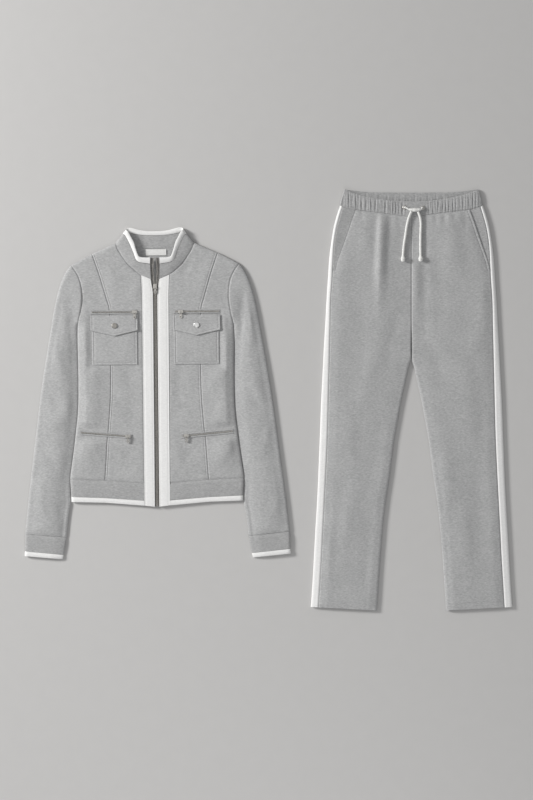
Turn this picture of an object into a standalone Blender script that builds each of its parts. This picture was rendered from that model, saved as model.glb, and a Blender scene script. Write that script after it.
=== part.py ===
"""Loungewear set laid flat: a zip jacket and, beside it, drawstring trousers.

Every sewn piece is its own closed wall of cloth. Tables are in millimetres, in the frame of
each garment: x out from its centre line, y up towards the neck or waist, z up from the
surface that it lies on. A table gives one half, and the other half mirrors it. "left" and
"right" are those of somebody looking down at the set. The two layers of a garment lie on
each other, and round off at the edges as half an ellipse, ROLL wide and half the lay high.
"""
import math

import bmesh
import bpy
import numpy as np

MM = 0.001
SEAM = 0.3          # between two sewn pieces
SLIT = 0.8          # between the jacket's side and its sleeve
ROLL = 9.0          # width of the rounded edge, seen from above
ROLL_STEPS = (1.0, 0.5, 0.134, 0.0)     # where its columns lie, in shares of ROLL from the edge
CLOTH = 2.2         # wall of double knit
TRIM = 1.4          # patch pockets and zip tape on a panel
FLAP = 1.6

JACKET = {"x": -272.6, "y": -196.4, "turn": 0.55, "lay": 7.6}
TROUSERS = {"x": 349.8, "y": 0.2, "turn": 0.0, "lay": 7.0}

SIDES = {"left": -1, "right": 1}

COLOURS = {
    "knit": ((0.36, 0.36, 0.37), 0.9, 0.0),
    "trim": ((0.82, 0.82, 0.81), 0.85, 0.0),
    "tape": ((0.25, 0.25, 0.25), 0.85, 0.0),
    "metal": ((0.5, 0.47, 0.43), 0.35, 1.0),
    "label": ((0.85, 0.85, 0.85), 0.8, 0.0),
}

# Jacket, outer edge: shoulder seam from the neck out, then the sleeve down to its binding.
SHOULDER = [(96.2, 580.0), (118.8, 570.0), (151.9, 555.6), (180.1, 542.7), (205.7, 527.5)]
SLEEVE_OUTER = [
    (205.7, 527.5), (214.5, 516.5), (221.7, 504.7), (230.7, 483.9), (240.1, 453.2),
    (248.7, 414.0), (257.2, 366.3), (267.0, 308.7), (276.8, 249.9), (285.4, 191.1),
    (294.0, 122.5), (302.6, 53.9), (311.5, -14.7), (319.1, -83.3), (323.8, -128.4),
    (325.0, -170.9), (325.5, -182.5), (325.6, -196.0),
]
# Jacket side from the binding up to the armpit, then the armhole up to the shoulder.
SIDE = [
    (209.5, -56.0), (210.1, -38.6), (212.5, 3.7), (206.6, 49.0), (201.5, 86.0), (197.1, 122.5),
    (192.9, 159.0), (190.7, 196.0), (190.1, 245.0), (190.6, 294.0), (191.3, 343.0),
    (190.9, 379.0),
]
ARMHOLE = [
    (190.9, 379.0), (186.5, 398.0), (183.4, 414.1), (179.8, 438.6), (179.8, 463.1),
    (183.7, 487.6), (192.3, 508.4), (205.7, 527.5),
]
SLEEVE_INNER_END = [
    (210.9, -56.0), (214.7, -73.5), (218.7, -102.9), (222.6, -138.2), (229.9, -180.2),
    (234.5, -200.0),
]
PRINCESS = [
    (126.8, 0.3), (125.0, 27.0), (122.7, 61.0), (120.3, 98.0), (117.0, 126.0), (114.3, 160.0),
    (111.6, 198.0), (110.2, 245.0), (109.7, 282.0), (109.9, 340.0), (110.6, 390.0),
    (112.6, 421.4), (118.8, 443.4), (126.5, 470.4), (136.0, 502.2), (145.2, 529.8),
    (153.8, 554.8),
]
PLACKET_OUTER = [(31.2, -62.0), (31.5, 73.5), (31.8, 196.0), (32.2, 392.0), (32.8, 465.5),
                 (34.3, 501.5)]
PLACKET_INNER = [(5.5, -65.0), (5.4, 196.0), (5.5, 441.0), (6.7, 465.5), (10.7, 491.9)]
NECKLINE = [(34.3, 501.5), (52.7, 515.7), (69.2, 531.7), (82.1, 548.8), (90.4, 564.8),
            (96.2, 580.0)]
BACK_NECK_Y = 566.0

# One row of the jacket's panels each: how high it meets the side, princess seam and front.
JACKET_ROWS = [
    {"side": 3.7, "princess": 0.3, "front": -7.1},
    {"side": 49.0, "princess": 47.0, "front": 45.0},
    {"side": 98.0, "princess": 98.0, "front": 98.0},
    {"side": 145.0, "princess": 145.0, "front": 145.0},
    {"side": 196.0, "princess": 196.0, "front": 196.0},
    {"side": 262.0, "princess": 262.0, "front": 262.0},
    {"side": 330.0, "princess": 330.0, "front": 330.0},
    {"side": 366.0, "princess": 370.0, "front": 380.0},
    {"side": 379.0, "princess": 395.0, "front": 408.0},
    {"side": 392.0, "princess": 409.0, "front": 430.0},
    {"side": 414.1, "princess": 426.0, "front": 462.0},
    {"side": 438.6, "princess": 446.0, "front": 482.0},
    {"side": 463.1, "princess": 468.0, "front": 501.5},
    {"side": 484.0, "princess": 492.0, "front": 514.0},
    {"side": 500.0, "princess": 514.0, "front": 532.0},
]
SHOULDER_STEPS = (20.0, 9.0, 4.5, 1.2, 0.0)     # rows that follow the shoulder's rounded edge
ARMPIT_ROW = 8
SLEEVE_ROWS_BELOW = (-56.0, -83.0, -110.0, -138.0)
# How high a sleeve row that starts at `inner` reaches its outer edge.
SLEEVE_SLANT = [
    {"inner": -200.0, "outer": -190.0}, {"inner": -138.2, "outer": -128.4},
    {"inner": 98.0, "outer": 110.0}, {"inner": 392.0, "outer": 402.0},
    {"inner": 438.6, "outer": 452.0}, {"inner": 463.1, "outer": 474.0},
    {"inner": 484.0, "outer": 491.0}, {"inner": 500.0, "outer": 503.0},
    {"inner": 527.5, "outer": 525.0},
]
SLEEVE_SINK = {"depth": 2.0, "reach": 26.0, "fade": 90.0}     # the sleeve lies lower than the body

# Straight runs of the hem band and binding, at the front edge, the princess seam and the side.
HEM_X = (31.4, 126.8, 212.5)
HEM = {
    "seam": {"y": (-7.1, 0.3, 3.7), "side_x": 212.5},
    "band": {"y": (-49.4, -42.0, -38.6), "side_x": 210.1},
    "binding": {"y": (-62.0, -53.8, -51.5), "side_x": 209.5},
}
CUFF = {
    "seam": {"inner": (222.6, -138.2), "outer": (323.8, -128.4)},
    "band": {"inner": (229.9, -180.2), "outer": (324.9, -170.5)},
    "binding": {"inner": (232.9, -191.1), "outer": (325.5, -182.5)},
}

# Stations round one half of the collar, from the zip, over the side fold, to the back's middle.
# On the front the seam follows the rows of the centre front, from NECK_ROW up.
NECK_ROW = 12
COLLAR = [
    {"side": 1, "seam": (10.5, 492.3), "bind": (11.9, 527.6), "top": (11.4, 544.2)},
    {"side": 1, "seam": None, "bind": (31.9, 530.7), "top": (25.7, 544.3)},
    {"side": 1, "seam": None, "bind": (39.6, 532.6), "top": (32.5, 544.8)},
    {"side": 1, "seam": None, "bind": (46.4, 538.6), "top": (39.6, 548.2)},
    {"side": 1, "seam": None, "bind": (53.0, 556.5), "top": (45.5, 563.5)},
    {"side": 1, "seam": None, "bind": (61.0, 575.5), "top": (51.0, 582.0)},
    {"side": 1, "seam": None, "bind": (66.5, 587.0), "top": (56.5, 592.5)},
    {"side": 1, "seam": None, "bind": (72.6, 598.0), "top": (64.0, 606.5)},
    {"side": 0, "seam": (95.9, 581.4), "bind": (78.4, 602.7), "top": (70.5, 612.5)},
    {"side": -1, "seam": (94.0, 581.1), "bind": (73.4, 605.0), "top": (68.0, 616.2)},
    {"side": -1, "seam": (90.0, 579.2), "bind": (66.0, 605.4), "top": (61.0, 618.0)},
    {"side": -1, "seam": (72.0, 574.3), "bind": (56.0, 603.5), "top": (50.5, 616.0)},
    {"side": -1, "seam": (48.0, 570.0), "bind": (38.0, 600.3), "top": (34.0, 611.5)},
    {"side": -1, "seam": (24.0, 567.4), "bind": (19.0, 598.3), "top": (17.0, 609.3)},
    {"side": -1, "seam": (0.0, 566.5), "bind": (0.0, 597.8), "top": (0.0, 608.8)},
]
COLLAR_STAND = {"seam": (0.0, 7.6), "bind": (0.6, 12.0), "top": (1.2, 15.0)}    # low and high z

ZIP = {
    "tape_outer": 14.0, "tape_wall": 1.0, "tape_z": 4.1, "teeth_width": 2.65, "teeth_top": 7.4,
    "rows": [
        {"y": -63.5, "gap": 0.15}, {"y": 196.0, "gap": 0.15}, {"y": 468.0, "gap": 0.15},
        {"y": 484.0, "gap": 0.9}, {"y": 492.3, "gap": 2.0}, {"y": 510.0, "gap": 4.1},
        {"y": 527.6, "gap": 3.4}, {"y": 543.5, "gap": 1.4},
    ],
}

CHEST_ZIP = {"inner": 45.5, "outer": 157.5, "low": 406.8, "high": 416.4}
CHEST_PATCH = {"inner": 44.6, "outer": 155.0, "low": 282.4, "high": 402.0}
CHEST_FLAP = {
    "inner": 43.2, "outer": 158.6, "high": 403.0, "corner_y": 366.5, "point": (100.3, 353.2),
    "lift": 2.4, "lift_from": 386.0,
}
BUTTON = {"x": 100.3, "y": 378.5, "radius": 6.8, "rise": 2.0}
SIDE_ZIP = {"inner": (60.0, 107.0), "outer": (187.0, 118.0), "half": 5.6}
LABEL = {"x": 2.8, "y": 557.2, "width": 50.0, "height": 15.4, "wall": 1.0}

# Trousers
TROUSER_SIDE = [
    (163.5, 514.5), (169.7, 507.2), (173.3, 490.0), (174.6, 475.3), (181.3, 455.7),
    (189.3, 426.3), (194.4, 396.9), (198.7, 367.5), (201.8, 338.1), (204.3, 298.9),
    (207.8, 245.0), (211.1, 183.8), (214.6, 122.5), (218.1, 53.9), (221.4, -12.2),
    (223.6, -73.5), (226.0, -134.8), (228.5, -196.0), (231.5, -257.2), (235.2, -318.5),
    (238.5, -379.8), (241.9, -441.0), (245.2, -490.0), (246.5, -506.6), (247.0, -515.0),
]
STRIPE_INNER = [
    (168.7, 472.0), (178.2, 441.0), (185.2, 411.6), (189.9, 377.3), (192.1, 338.1),
    (194.2, 294.0), (197.5, 245.0), (198.8, 183.8), (200.3, 122.5), (201.8, 53.9),
    (203.4, -12.2), (204.9, -73.5), (207.3, -134.8), (210.3, -196.0), (213.4, -257.2),
    (216.6, -318.5), (219.6, -379.8), (223.3, -441.0), (226.4, -490.0), (227.6, -507.6),
]
INSEAM = [
    (1.2, 96.0), (5.0, 84.0), (7.4, 76.0), (12.9, 49.0), (23.9, 0.0), (33.1, -49.0),
    (41.7, -98.0), (47.8, -147.0), (54.5, -196.0), (61.9, -245.0), (68.0, -294.0),
    (72.3, -343.0), (76.3, -392.0), (79.7, -441.0), (82.7, -490.0), (84.5, -515.0),
    (84.9, -522.0),
]
# One row of the trousers each: its height at the inner edge, the pocket or stripe, the side.
TROUSER_ROWS = [
    {"inner": 447.4, "stripe": 471.6, "side": 475.3, "mouth": (141.5, 464.9)},
    {"inner": 425.0, "stripe": 441.0, "side": 444.0, "mouth": (152.5, 434.9)},
    {"inner": 398.0, "stripe": 408.0, "side": 409.0, "mouth": (163.5, 401.8)},
    {"inner": 368.0, "stripe": 371.0, "side": 371.0, "mouth": (175.8, 367.5)},
    {"inner": 339.0, "stripe": 339.0, "side": 339.0, "mouth": (186.4, 338.0)},
    {"inner": 318.0, "stripe": 318.0, "side": 318.0, "mouth": (190.9, 318.0)},
    {"inner": 304.0, "stripe": 304.0, "side": 304.0, "mouth": None},
    {"inner": 262.0, "stripe": 262.0, "side": 262.0, "mouth": None},
    {"inner": 214.0, "stripe": 214.0, "side": 214.0, "mouth": None},
    {"inner": 164.0, "stripe": 164.0, "side": 164.0, "mouth": None},
    {"inner": 122.0, "stripe": 122.0, "side": 122.0, "mouth": None},
    {"inner": 97.0, "stripe": 97.0, "side": 97.0, "mouth": None},
    {"inner": 84.0, "stripe": 84.0, "side": 84.0, "mouth": None},
    {"inner": 56.0, "stripe": 56.0, "side": 56.0, "mouth": None},
    {"inner": 10.0, "stripe": 11.0, "side": 11.0, "mouth": None},
    {"inner": -49.0, "stripe": -47.0, "side": -47.0, "mouth": None},
    {"inner": -120.0, "stripe": -117.0, "side": -117.0, "mouth": None},
    {"inner": -196.0, "stripe": -192.0, "side": -192.0, "mouth": None},
    {"inner": -280.0, "stripe": -275.0, "side": -275.0, "mouth": None},
    {"inner": -360.0, "stripe": -354.0, "side": -354.0, "mouth": None},
    {"inner": -441.0, "stripe": -434.0, "side": -434.0, "mouth": None},
    {"inner": -515.0, "stripe": -507.6, "side": -506.6, "mouth": None},
]
CROTCH_ROW = 11
POCKET_STEP = 1.6       # how far the facing lies below the front at the pocket's mouth
# Soft folds of the front legs: x at the top and foot of each, its y span, half width, height.
TROUSER_FOLDS = [
    {"top": (-57, 446), "foot": (-68, 190), "half": 20, "rise": -1.4},
    {"top": (-36, 446), "foot": (-24, 360), "half": 15, "rise": 1.1},
    {"top": (-92, 452), "foot": (-84, 250), "half": 22, "rise": 1.2},
    {"top": (62, 450), "foot": (52, 330), "half": 17, "rise": 1.2},
    {"top": (100, 456), "foot": (112, 330), "half": 20, "rise": -1.1},
    {"top": (22, 446), "foot": (28, 210), "half": 16, "rise": -1.0},
    {"top": (-118, 60), "foot": (-150, -420), "half": 34, "rise": 1.6},
    {"top": (120, 70), "foot": (150, -430), "half": 36, "rise": 1.6},
]

WAIST = {
    "front_seam": [(0.0, 447.7), (141.5, 465.2), (168.7, 471.9), (174.6, 475.6)],
    "front_top": [(0.0, 485.2), (24.5, 485.6), (51.5, 487.6), (79.6, 491.2), (101.7, 495.5),
                  (127.4, 501.6), (153.1, 510.8), (163.5, 514.5)],
    "back_seam": [(0.0, 471.9), (168.7, 471.9), (174.6, 475.6)],
    "back_top": [(0.0, 506.8), (27.0, 506.9), (96.0, 507.4), (125.0, 509.8), (147.0, 512.5),
                 (163.5, 514.5)],
    "wall": 2.0, "front_gathers": 27, "back_gathers": 15, "rise": 0.9, "columns_each": 3,
}
EYELETS = [{"x": -17.6, "y": 470.0}, {"x": 27.7, "y": 469.0}]
EYELET = {"outer": 5.0, "hole": 2.4, "rise": 1.6}
KNOT = {"x": 8.0, "y": 463.4, "half": 15.5, "radius": 4.6, "in_eyelet": 2.0, "bend": 2.4}
CORD = {"radius": 3.0, "clear": 0.45, "from_knot": 24.0}
CORD_END = (3.0, 4.6, 5.6, 4.8, 2.6)        # radii of a tail's last points: its knotted end
CORD_ROUTES = {
    "left": [(-1.0, 459.6), (-6.6, 445.9), (-11.5, 426.3), (-15.2, 401.8), (-18.9, 377.3),
             (-21.0, 352.8), (-21.3, 340.0)],
    "right": [(15.6, 459.6), (20.3, 446.8), (22.6, 430.2), (21.6, 401.8), (21.5, 372.4),
              (22.0, 349.0), (22.0, 340.5)],
}

SLIDER = {
    "width": 8.6, "length": 12.6, "base": 2.2, "opening": 1.3, "half_height": 1.2,
    "leg": 0.9, "bridge_width": 2.0, "bevel": 0.9,
}
PULL = {
    "bar": 0.6, "wall": 1.2, "window_half": 1.6, "window_end": 4.2, "head_half": 2.9,
    "widest": 3.9, "widest_at": 11.5, "length": 16.0, "hole_radius": 1.7, "hole_at": 11.8,
}


def smooth(points, steps=8):
    """A Catmull-Rom curve through a table's points."""
    table = np.array(points, float)
    before = np.vstack([2 * table[0] - table[1], table, 2 * table[-1] - table[-2]])
    share = np.linspace(0, 1, steps, endpoint=False)[:, None]
    runs = []
    for a, b, c, d in zip(before, before[1:], before[2:], before[3:]):
        runs.append(0.5 * (2 * b + (c - a) * share + (2 * a - 5 * b + 4 * c - d) * share ** 2
                           + (3 * b - a - 3 * c + d) * share ** 3))
    return np.vstack(runs + [table[-1:]])


def at_height(curve, heights):
    """Points of a curve that only rises, or only falls, at the given heights."""
    order = np.argsort(curve[:, 1], kind="stable")
    x = np.interp(heights, curve[order, 1], curve[order, 0])
    return np.column_stack([x, heights])


def shifted(points, distance):
    """An open line moved to its left by a distance, along its own normals."""
    run = np.gradient(np.asarray(points, float), axis=0)
    run /= np.linalg.norm(run, axis=1)[:, None]
    return points + distance * np.column_stack([-run[:, 1], run[:, 0]])


def from_edges(points, edges):
    """Distance of plan points from the nearest rounded edge, and the way in from it.

    An edge is a line with the side, left 1 or right -1, on which the cloth lies.
    """
    nearest = np.full(len(points), 1e6)
    way = np.zeros((len(points), 2))
    for line, inside in edges:
        start = line[:-1]
        run = line[1:] - start
        reach = points[:, None, :] - start[None]
        share = np.clip((reach * run).sum(2) / (run ** 2).sum(1), 0, 1)
        gap = reach - share[..., None] * run
        distance = np.linalg.norm(gap, axis=2)
        pick = distance.argmin(1)
        index = np.arange(len(points))
        here = distance[index, pick]
        normal = inside * np.column_stack([-run[pick, 1], run[pick, 0]])
        normal /= np.linalg.norm(normal, axis=1)[:, None]
        out = gap[index, pick] / np.maximum(here, 1e-9)[:, None]
        out = np.where((here < 0.3)[:, None], normal, out)
        closer = here < nearest
        way[closer] = out[closer]
        nearest = np.minimum(nearest, here)
    return nearest, way


def columns(inside, outside, count, roll_in=False, roll_out=False):
    """Rows of plan points between two lines, crowded where an end is a rounded edge."""
    reach = outside - inside
    length = np.linalg.norm(reach, axis=1)
    tight = np.minimum(1, 0.45 * length / ROLL)
    steps = ROLL * tight[:, None] * np.array(ROLL_STEPS)[None]
    head = steps[:, ::-1] if roll_in else np.zeros((len(length), 1))
    tail = length[:, None] - (steps if roll_out else np.zeros((len(length), 1)))
    share = np.linspace(0, 1, count + 1)[1:-1][None]
    middle = head[:, -1:] + (tail[:, :1] - head[:, -1:]) * share
    along = np.hstack([head, middle, tail]) / length[:, None]
    return inside[:, None] + reach[:, None] * along[..., None]


def fold_height(plan, folds):
    """Sum of soft folds, each a bump across its run that fades at both ends."""
    rise = np.zeros(plan.shape[:-1])
    for fold in folds:
        top, foot = np.array(fold["top"], float), np.array(fold["foot"], float)
        share = (top[1] - plan[..., 1]) / (top[1] - foot[1])
        across = (plan[..., 0] - (top[0] + (foot[0] - top[0]) * share)) / fold["half"]
        fade = np.sin(np.pi * np.clip(share * 0.85 + 0.15, 0, 1)) ** 2
        rise += fold["rise"] * np.exp(-2 * across ** 2) * fade * ((share > -0.18) & (share < 1))
    return rise


def lay(plan, side, edges, height, wall=CLOTH, tip=None, rise=0.0, split=True):
    """Outer and inner points of laid cloth over plan points.

    `side` is 1 on the upper layer, -1 on the lower and 0 at a fold between them. `tip` marks
    points on a rounded edge, where the layers part by a seam, or fold if `split` is False.
    """
    shape = plan.shape[:2]
    distance, way = from_edges(plan.reshape(-1, 2), edges)
    distance, way = distance.reshape(shape), way.reshape(*shape, 2)
    tip = np.zeros(shape, bool) if tip is None else tip
    up = np.broadcast_to(np.asarray(side, float), shape)
    distance = np.where(tip, 0, distance)
    edge_share = np.clip(1 - distance / ROLL, 0, 1)
    root = np.sqrt(1 - edge_share ** 2)
    half = height / 2
    parting = np.where(tip & split, up * SEAM / 2, 0)
    outer_z = half + up * half * root + parting + np.where(tip, 0, rise)
    inner_z = half + up * (half - wall) * root + parting + np.where(tip, 0, rise)
    outer = np.dstack([plan, outer_z])
    inner = np.dstack([plan + way * (wall * edge_share)[..., None], inner_z])
    return outer, inner


def hold_seam(outer, inner, column, rows=slice(None)):
    """Keeps a column's inner points over its own seam line, so that two pieces can't cross."""
    line = outer[:, column, :2]
    run = np.gradient(line, axis=0)
    run = (run / np.linalg.norm(run, axis=1)[:, None])[rows]
    shift = inner[rows, column, :2] - line[rows]
    inner[rows, column, :2] = line[rows] + (shift * run).sum(1)[:, None] * run


def material(name, kind):
    colour, roughness, metallic = COLOURS[kind]
    made = bpy.data.materials.new(name)
    made.use_nodes = True
    shader = made.node_tree.nodes["Principled BSDF"]
    shader.inputs["Base Color"].default_value = (*colour, 1.0)
    shader.inputs["Roughness"].default_value = roughness
    shader.inputs["Metallic"].default_value = metallic
    made.diffuse_color = (*colour, 1.0)
    return made


def placed(points, garment, side=1):
    """A garment's millimetres in the set's frame, in metres, mirrored where side is -1."""
    turn = math.radians(garment["turn"])
    x, y, z = side * points[:, 0], points[:, 1], points[:, 2]
    return MM * np.column_stack([
        garment["x"] + x * math.cos(turn) - y * math.sin(turn),
        garment["y"] + x * math.sin(turn) + y * math.cos(turn),
        z,
    ])


def finish(name, vertices, faces, kind, round_shading=True):
    """One named object from points and faces, with its faces turned outwards."""
    mesh = bpy.data.meshes.new(name)
    mesh.from_pydata([tuple(v) for v in vertices], [], faces)
    work = bmesh.new()
    work.from_mesh(mesh)
    bmesh.ops.recalc_face_normals(work, faces=work.faces)
    if work.calc_volume(signed=True) < 0:
        bmesh.ops.reverse_faces(work, faces=work.faces)
    work.to_mesh(mesh)
    work.free()
    mesh.materials.append(material(name, kind))
    if round_shading:
        mesh.shade_smooth()
        mesh.set_sharp_from_angle(angle=math.radians(40))
    thing = bpy.data.objects.new(name, mesh)
    bpy.context.collection.objects.link(thing)
    return thing


def wall(name, grids, kind, garment, side=1, loop=False):
    """One closed wall from grids of outer and inner points, closed along its open borders."""
    outer, inner, quads, start = [], [], [], 0
    for over, under in grids:
        rows, cols = over.shape[:2]
        index = start + np.arange(rows * cols).reshape(rows, cols)
        if loop:
            index = np.hstack([index, index[:, :1]])
        corner = [index[:-1, :-1], index[1:, :-1], index[1:, 1:], index[:-1, 1:]]
        quads.append(np.stack(corner, -1).reshape(-1, 4))
        outer.append(over.reshape(-1, 3))
        inner.append(under.reshape(-1, 3))
        start += rows * cols
    outer, inner, quads = np.vstack(outer), np.vstack(inner), np.vstack(quads)
    edges = np.vstack([quads[:, [k, (k + 1) % 4]] for k in range(4)])
    keys, first, uses = np.unique(np.sort(edges, 1), axis=0, return_index=True,
                                  return_counts=True)
    border = edges[first[uses == 1]]
    count = len(outer)
    rim = np.column_stack([border[:, 1], border[:, 0], border[:, 0] + count,
                           border[:, 1] + count])
    faces = np.vstack([quads, quads[:, ::-1] + count, rim]).tolist()
    points = placed(np.vstack([outer, inner]), garment, side)
    return finish(name, points, faces, kind)


def both_sides(half):
    """A half's rows, centre first, widened with their mirror image into whole rows."""
    flipped = half[:, :0:-1].copy()
    flipped[..., 0] *= -1
    return np.hstack([flipped, half])


def jacket_lines():
    """The jacket's seam and edge points, one for each row, bottom to shoulder."""
    shoulder = smooth(SHOULDER)
    side = np.vstack([smooth(SIDE), smooth(ARMHOLE)[1:]])
    princess = smooth(PRINCESS)
    front = np.vstack([smooth(PLACKET_OUTER, 4), smooth(NECKLINE)[1:]])
    rows = {
        "side": at_height(side, [row["side"] for row in JACKET_ROWS]),
        "princess": at_height(princess, [row["princess"] for row in JACKET_ROWS]),
        "front": at_height(front, [row["front"] for row in JACKET_ROWS]),
    }
    back_line = np.column_stack([np.linspace(126.8, 96.2, 60), np.linspace(0.3, 580.0, 60)])
    rows["back"] = at_height(back_line, [row["princess"] for row in JACKET_ROWS])
    curves = {"side": side, "princess": princess, "front": front, "back": back_line}
    for name, curve in curves.items():
        away, _ = from_edges(curve, [(shoulder, 1)])
        upper = curve[:, 1] > 480
        order = np.argsort(-away[upper])
        near, ordered = away[upper][order], curve[upper][order]
        extra = [[np.interp(-step, -near, ordered[:, k]) for k in (0, 1)]
                 for step in SHOULDER_STEPS[:-1]]
        rows[name] = np.vstack([rows[name], extra, curve[-1:]])
    rows["shoulder"] = shoulder
    return rows


def jacket_edges(lines):
    """Rounded edges of the body and of a sleeve: the outside, and each side of the slit."""
    outside = np.vstack([lines["shoulder"], smooth(SLEEVE_OUTER)[1:]])
    side = smooth(SIDE)
    sleeve = np.vstack([side[::-1] + (SLIT, 0), smooth(SLEEVE_INNER_END)[1:]])
    return {
        "outside": outside, "side": side, "sleeve": sleeve,
        "body": [(outside, -1), (side, 1)],
        "arm": [(outside, -1), (sleeve, 1)],
    }


def body_height(plan):
    return np.full(plan.shape[:2], JACKET["lay"])


def sleeve_height(plan, edges):
    """The sleeve's lay, which sinks beside the body and is level with it at the armhole."""
    away, _ = from_edges(plan.reshape(-1, 2), [(edges["sleeve"], 1)])
    away = away.reshape(plan.shape[:2])
    below = np.clip((SIDE[-1][1] - plan[..., 1]) / SLEEVE_SINK["fade"], 0, 1)
    sink = SLEEVE_SINK["depth"] * np.exp(-(away / SLEEVE_SINK["reach"]) ** 2) * below
    return JACKET["lay"] - sink


def tips(shape, last_column=0, top_row=False):
    """Marks the first `last_column` rows of the last column, and perhaps the whole top row."""
    tip = np.zeros(shape, bool)
    tip[:last_column, -1] = True
    if top_row:
        tip[-1] = True
    return tip


def jacket_panels(lines, edges):
    """Two centre fronts, two side fronts and the back, row by row."""
    reach = lines["side"].copy()
    reach[ARMPIT_ROW + 1:] = shifted(lines["side"], SEAM / 2)[ARMPIT_ROW + 1:]
    for word, side in SIDES.items():
        plan = columns(shifted(lines["front"], -SEAM / 2), shifted(lines["princess"], SEAM / 2), 4)
        outer, inner = lay(plan, 1, edges["body"], body_height(plan),
                           tip=tips(plan.shape[:2], 0, True))
        hold_seam(outer, inner, 0)
        hold_seam(outer, inner, -1)
        wall(f"front_centre_{word}", [(outer, inner)], "knit", JACKET, side)

        plan = columns(shifted(lines["princess"], -SEAM / 2), reach, 4, roll_out=True)
        outer, inner = lay(plan, 1, edges["body"], body_height(plan),
                           tip=tips(plan.shape[:2], ARMPIT_ROW + 1, True))
        hold_seam(outer, inner, 0)
        hold_seam(outer, inner, -1, slice(ARMPIT_ROW + 1, None))
        wall(f"front_side_{word}", [(outer, inner)], "knit", JACKET, side)

    middle = lines["back"]
    centre_y = np.interp(middle[:, 1], (middle[0, 1], middle[-1, 1]), (-7.1, BACK_NECK_Y))
    share = np.linspace(0, 1, 5)[:-1]
    near = np.empty((len(middle), len(share), 2))
    near[..., 0] = middle[:, :1] * share
    near[..., 1] = centre_y[:, None] + (middle[:, 1] - centre_y)[:, None] * share ** 2
    near[0, :, 1] = centre_y[0] + (middle[0, 1] - centre_y[0]) * share
    far = columns(middle, reach, 3, roll_out=True)
    half = np.hstack([near, far])
    tip = tips(half.shape[:2], ARMPIT_ROW + 1)
    tip[-1, len(share):] = True
    outer, inner = lay(half, -1, edges["body"], body_height(half), tip=tip)
    hold_seam(outer, inner, -1, slice(ARMPIT_ROW + 1, None))
    wall("jacket_back", [(both_sides(outer), both_sides(inner))], "knit", JACKET)


def sleeves(lines, edges):
    """An upper and an under sleeve on each side, from the shoulder's tip to the cuff seam."""
    armhole = shifted(lines["side"], -SEAM / 2)[ARMPIT_ROW + 1:]
    slit = lines["side"][:ARMPIT_ROW + 1] + (SLIT, 0)
    below = at_height(edges["sleeve"], sorted(SLEEVE_ROWS_BELOW))
    inside = np.vstack([below, slit, armhole])
    heights = np.interp(inside[:, 1], [row["inner"] for row in SLEEVE_SLANT],
                        [row["outer"] for row in SLEEVE_SLANT])
    heights[-1] = 524.6
    outside = at_height(smooth(SLEEVE_OUTER), heights)
    plan = columns(inside, outside, 4, roll_in=True, roll_out=True)
    tip = np.zeros(plan.shape[:2], bool)
    tip[:, -1] = True
    tip[:len(below) + len(slit), 0] = True
    tip[-1] = True
    height = sleeve_height(plan, edges)
    for word, side in SIDES.items():
        for layer, up in (("top", 1), ("under", -1)):
            outer, inner = lay(plan, up, edges["arm"], height, tip=tip)
            hold_seam(outer, inner, 0, slice(len(below) + len(slit), None))
            wall(f"sleeve_{layer}_{word}", [(outer, inner)], "knit", JACKET, side)


def flat_tube(name, lower, upper, edges, kind, side):
    """A band round a sleeve: columns over the top, round one edge, and back below."""
    over = np.stack([lower, upper])
    ring = np.hstack([over, over[:, -2:0:-1]])
    folds = [0, over.shape[1] - 1]
    up = np.ones(ring.shape[1])
    up[over.shape[1]:] = -1
    up[folds] = 0
    tip = np.zeros(ring.shape[:2], bool)
    tip[:, folds] = True
    outer, inner = lay(ring, up, edges["arm"], sleeve_height(ring, edges), tip=tip, split=False)
    wall(name, [(outer, inner)], kind, JACKET, side, loop=True)


def cuffs(edges):
    """Cuff and white binding of each sleeve, each one flat tube."""
    spans = {"cuff": ("seam", "band", "knit"), "cuff_binding": ("band", "binding", "trim")}
    for word, side in SIDES.items():
        for name, (near, far, kind) in spans.items():
            lines = []
            for key, gap in ((near, -SEAM), (far, 0)):
                ends = np.array([CUFF[key]["inner"], CUFF[key]["outer"]]) + (0, gap)
                row = columns(ends[:1], ends[1:], 4, roll_in=True, roll_out=True)[0]
                lines.append(row)
            flat_tube(f"{name}_{word}", lines[1], lines[0], edges, kind, side)


def hem_line(key, gap=0.0):
    """Half of the hem's plan line, from the placket to the side."""
    heights = np.array(HEM[key]["y"]) + gap
    xs = np.array([HEM_X[0] + SEAM / 2, HEM_X[1], HEM[key]["side_x"]])
    roll = HEM[key]["side_x"] - ROLL * np.array(ROLL_STEPS)
    x = np.concatenate([[xs[0]], np.linspace(xs[0], xs[1], 4)[1:], [165.0], roll])
    return np.column_stack([x, np.interp(x, xs, heights)])


def hems(edges):
    """Hem band and binding: each runs from one placket round the back to the other."""
    spans = {"hem_band": ("seam", "band", "knit"), "hem_binding": ("band", "binding", "trim")}
    for name, (near, far, kind) in spans.items():
        rows = []
        for key, gap in ((far, 0.0), (near, -SEAM)):
            front = hem_line(key, gap)
            behind = front[-2::-1].copy()
            behind[-1, 0] = 0.0
            rows.append(np.vstack([front, behind]))
        plan = np.stack(rows)
        count = len(front)
        up = np.ones(plan.shape[1])
        up[count - 1] = 0
        up[count:] = -1
        tip = np.zeros(plan.shape[:2], bool)
        tip[:, count - 1] = True
        outer, inner = lay(plan, up, edges["body"], body_height(plan), tip=tip, split=False)
        flip = np.array([-1, 1, 1])
        outer = np.hstack([outer, (outer * flip)[:, -2::-1]])
        inner = np.hstack([inner, (inner * flip)[:, -2::-1]])
        wall(name, [(outer, inner)], kind, JACKET)


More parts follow.
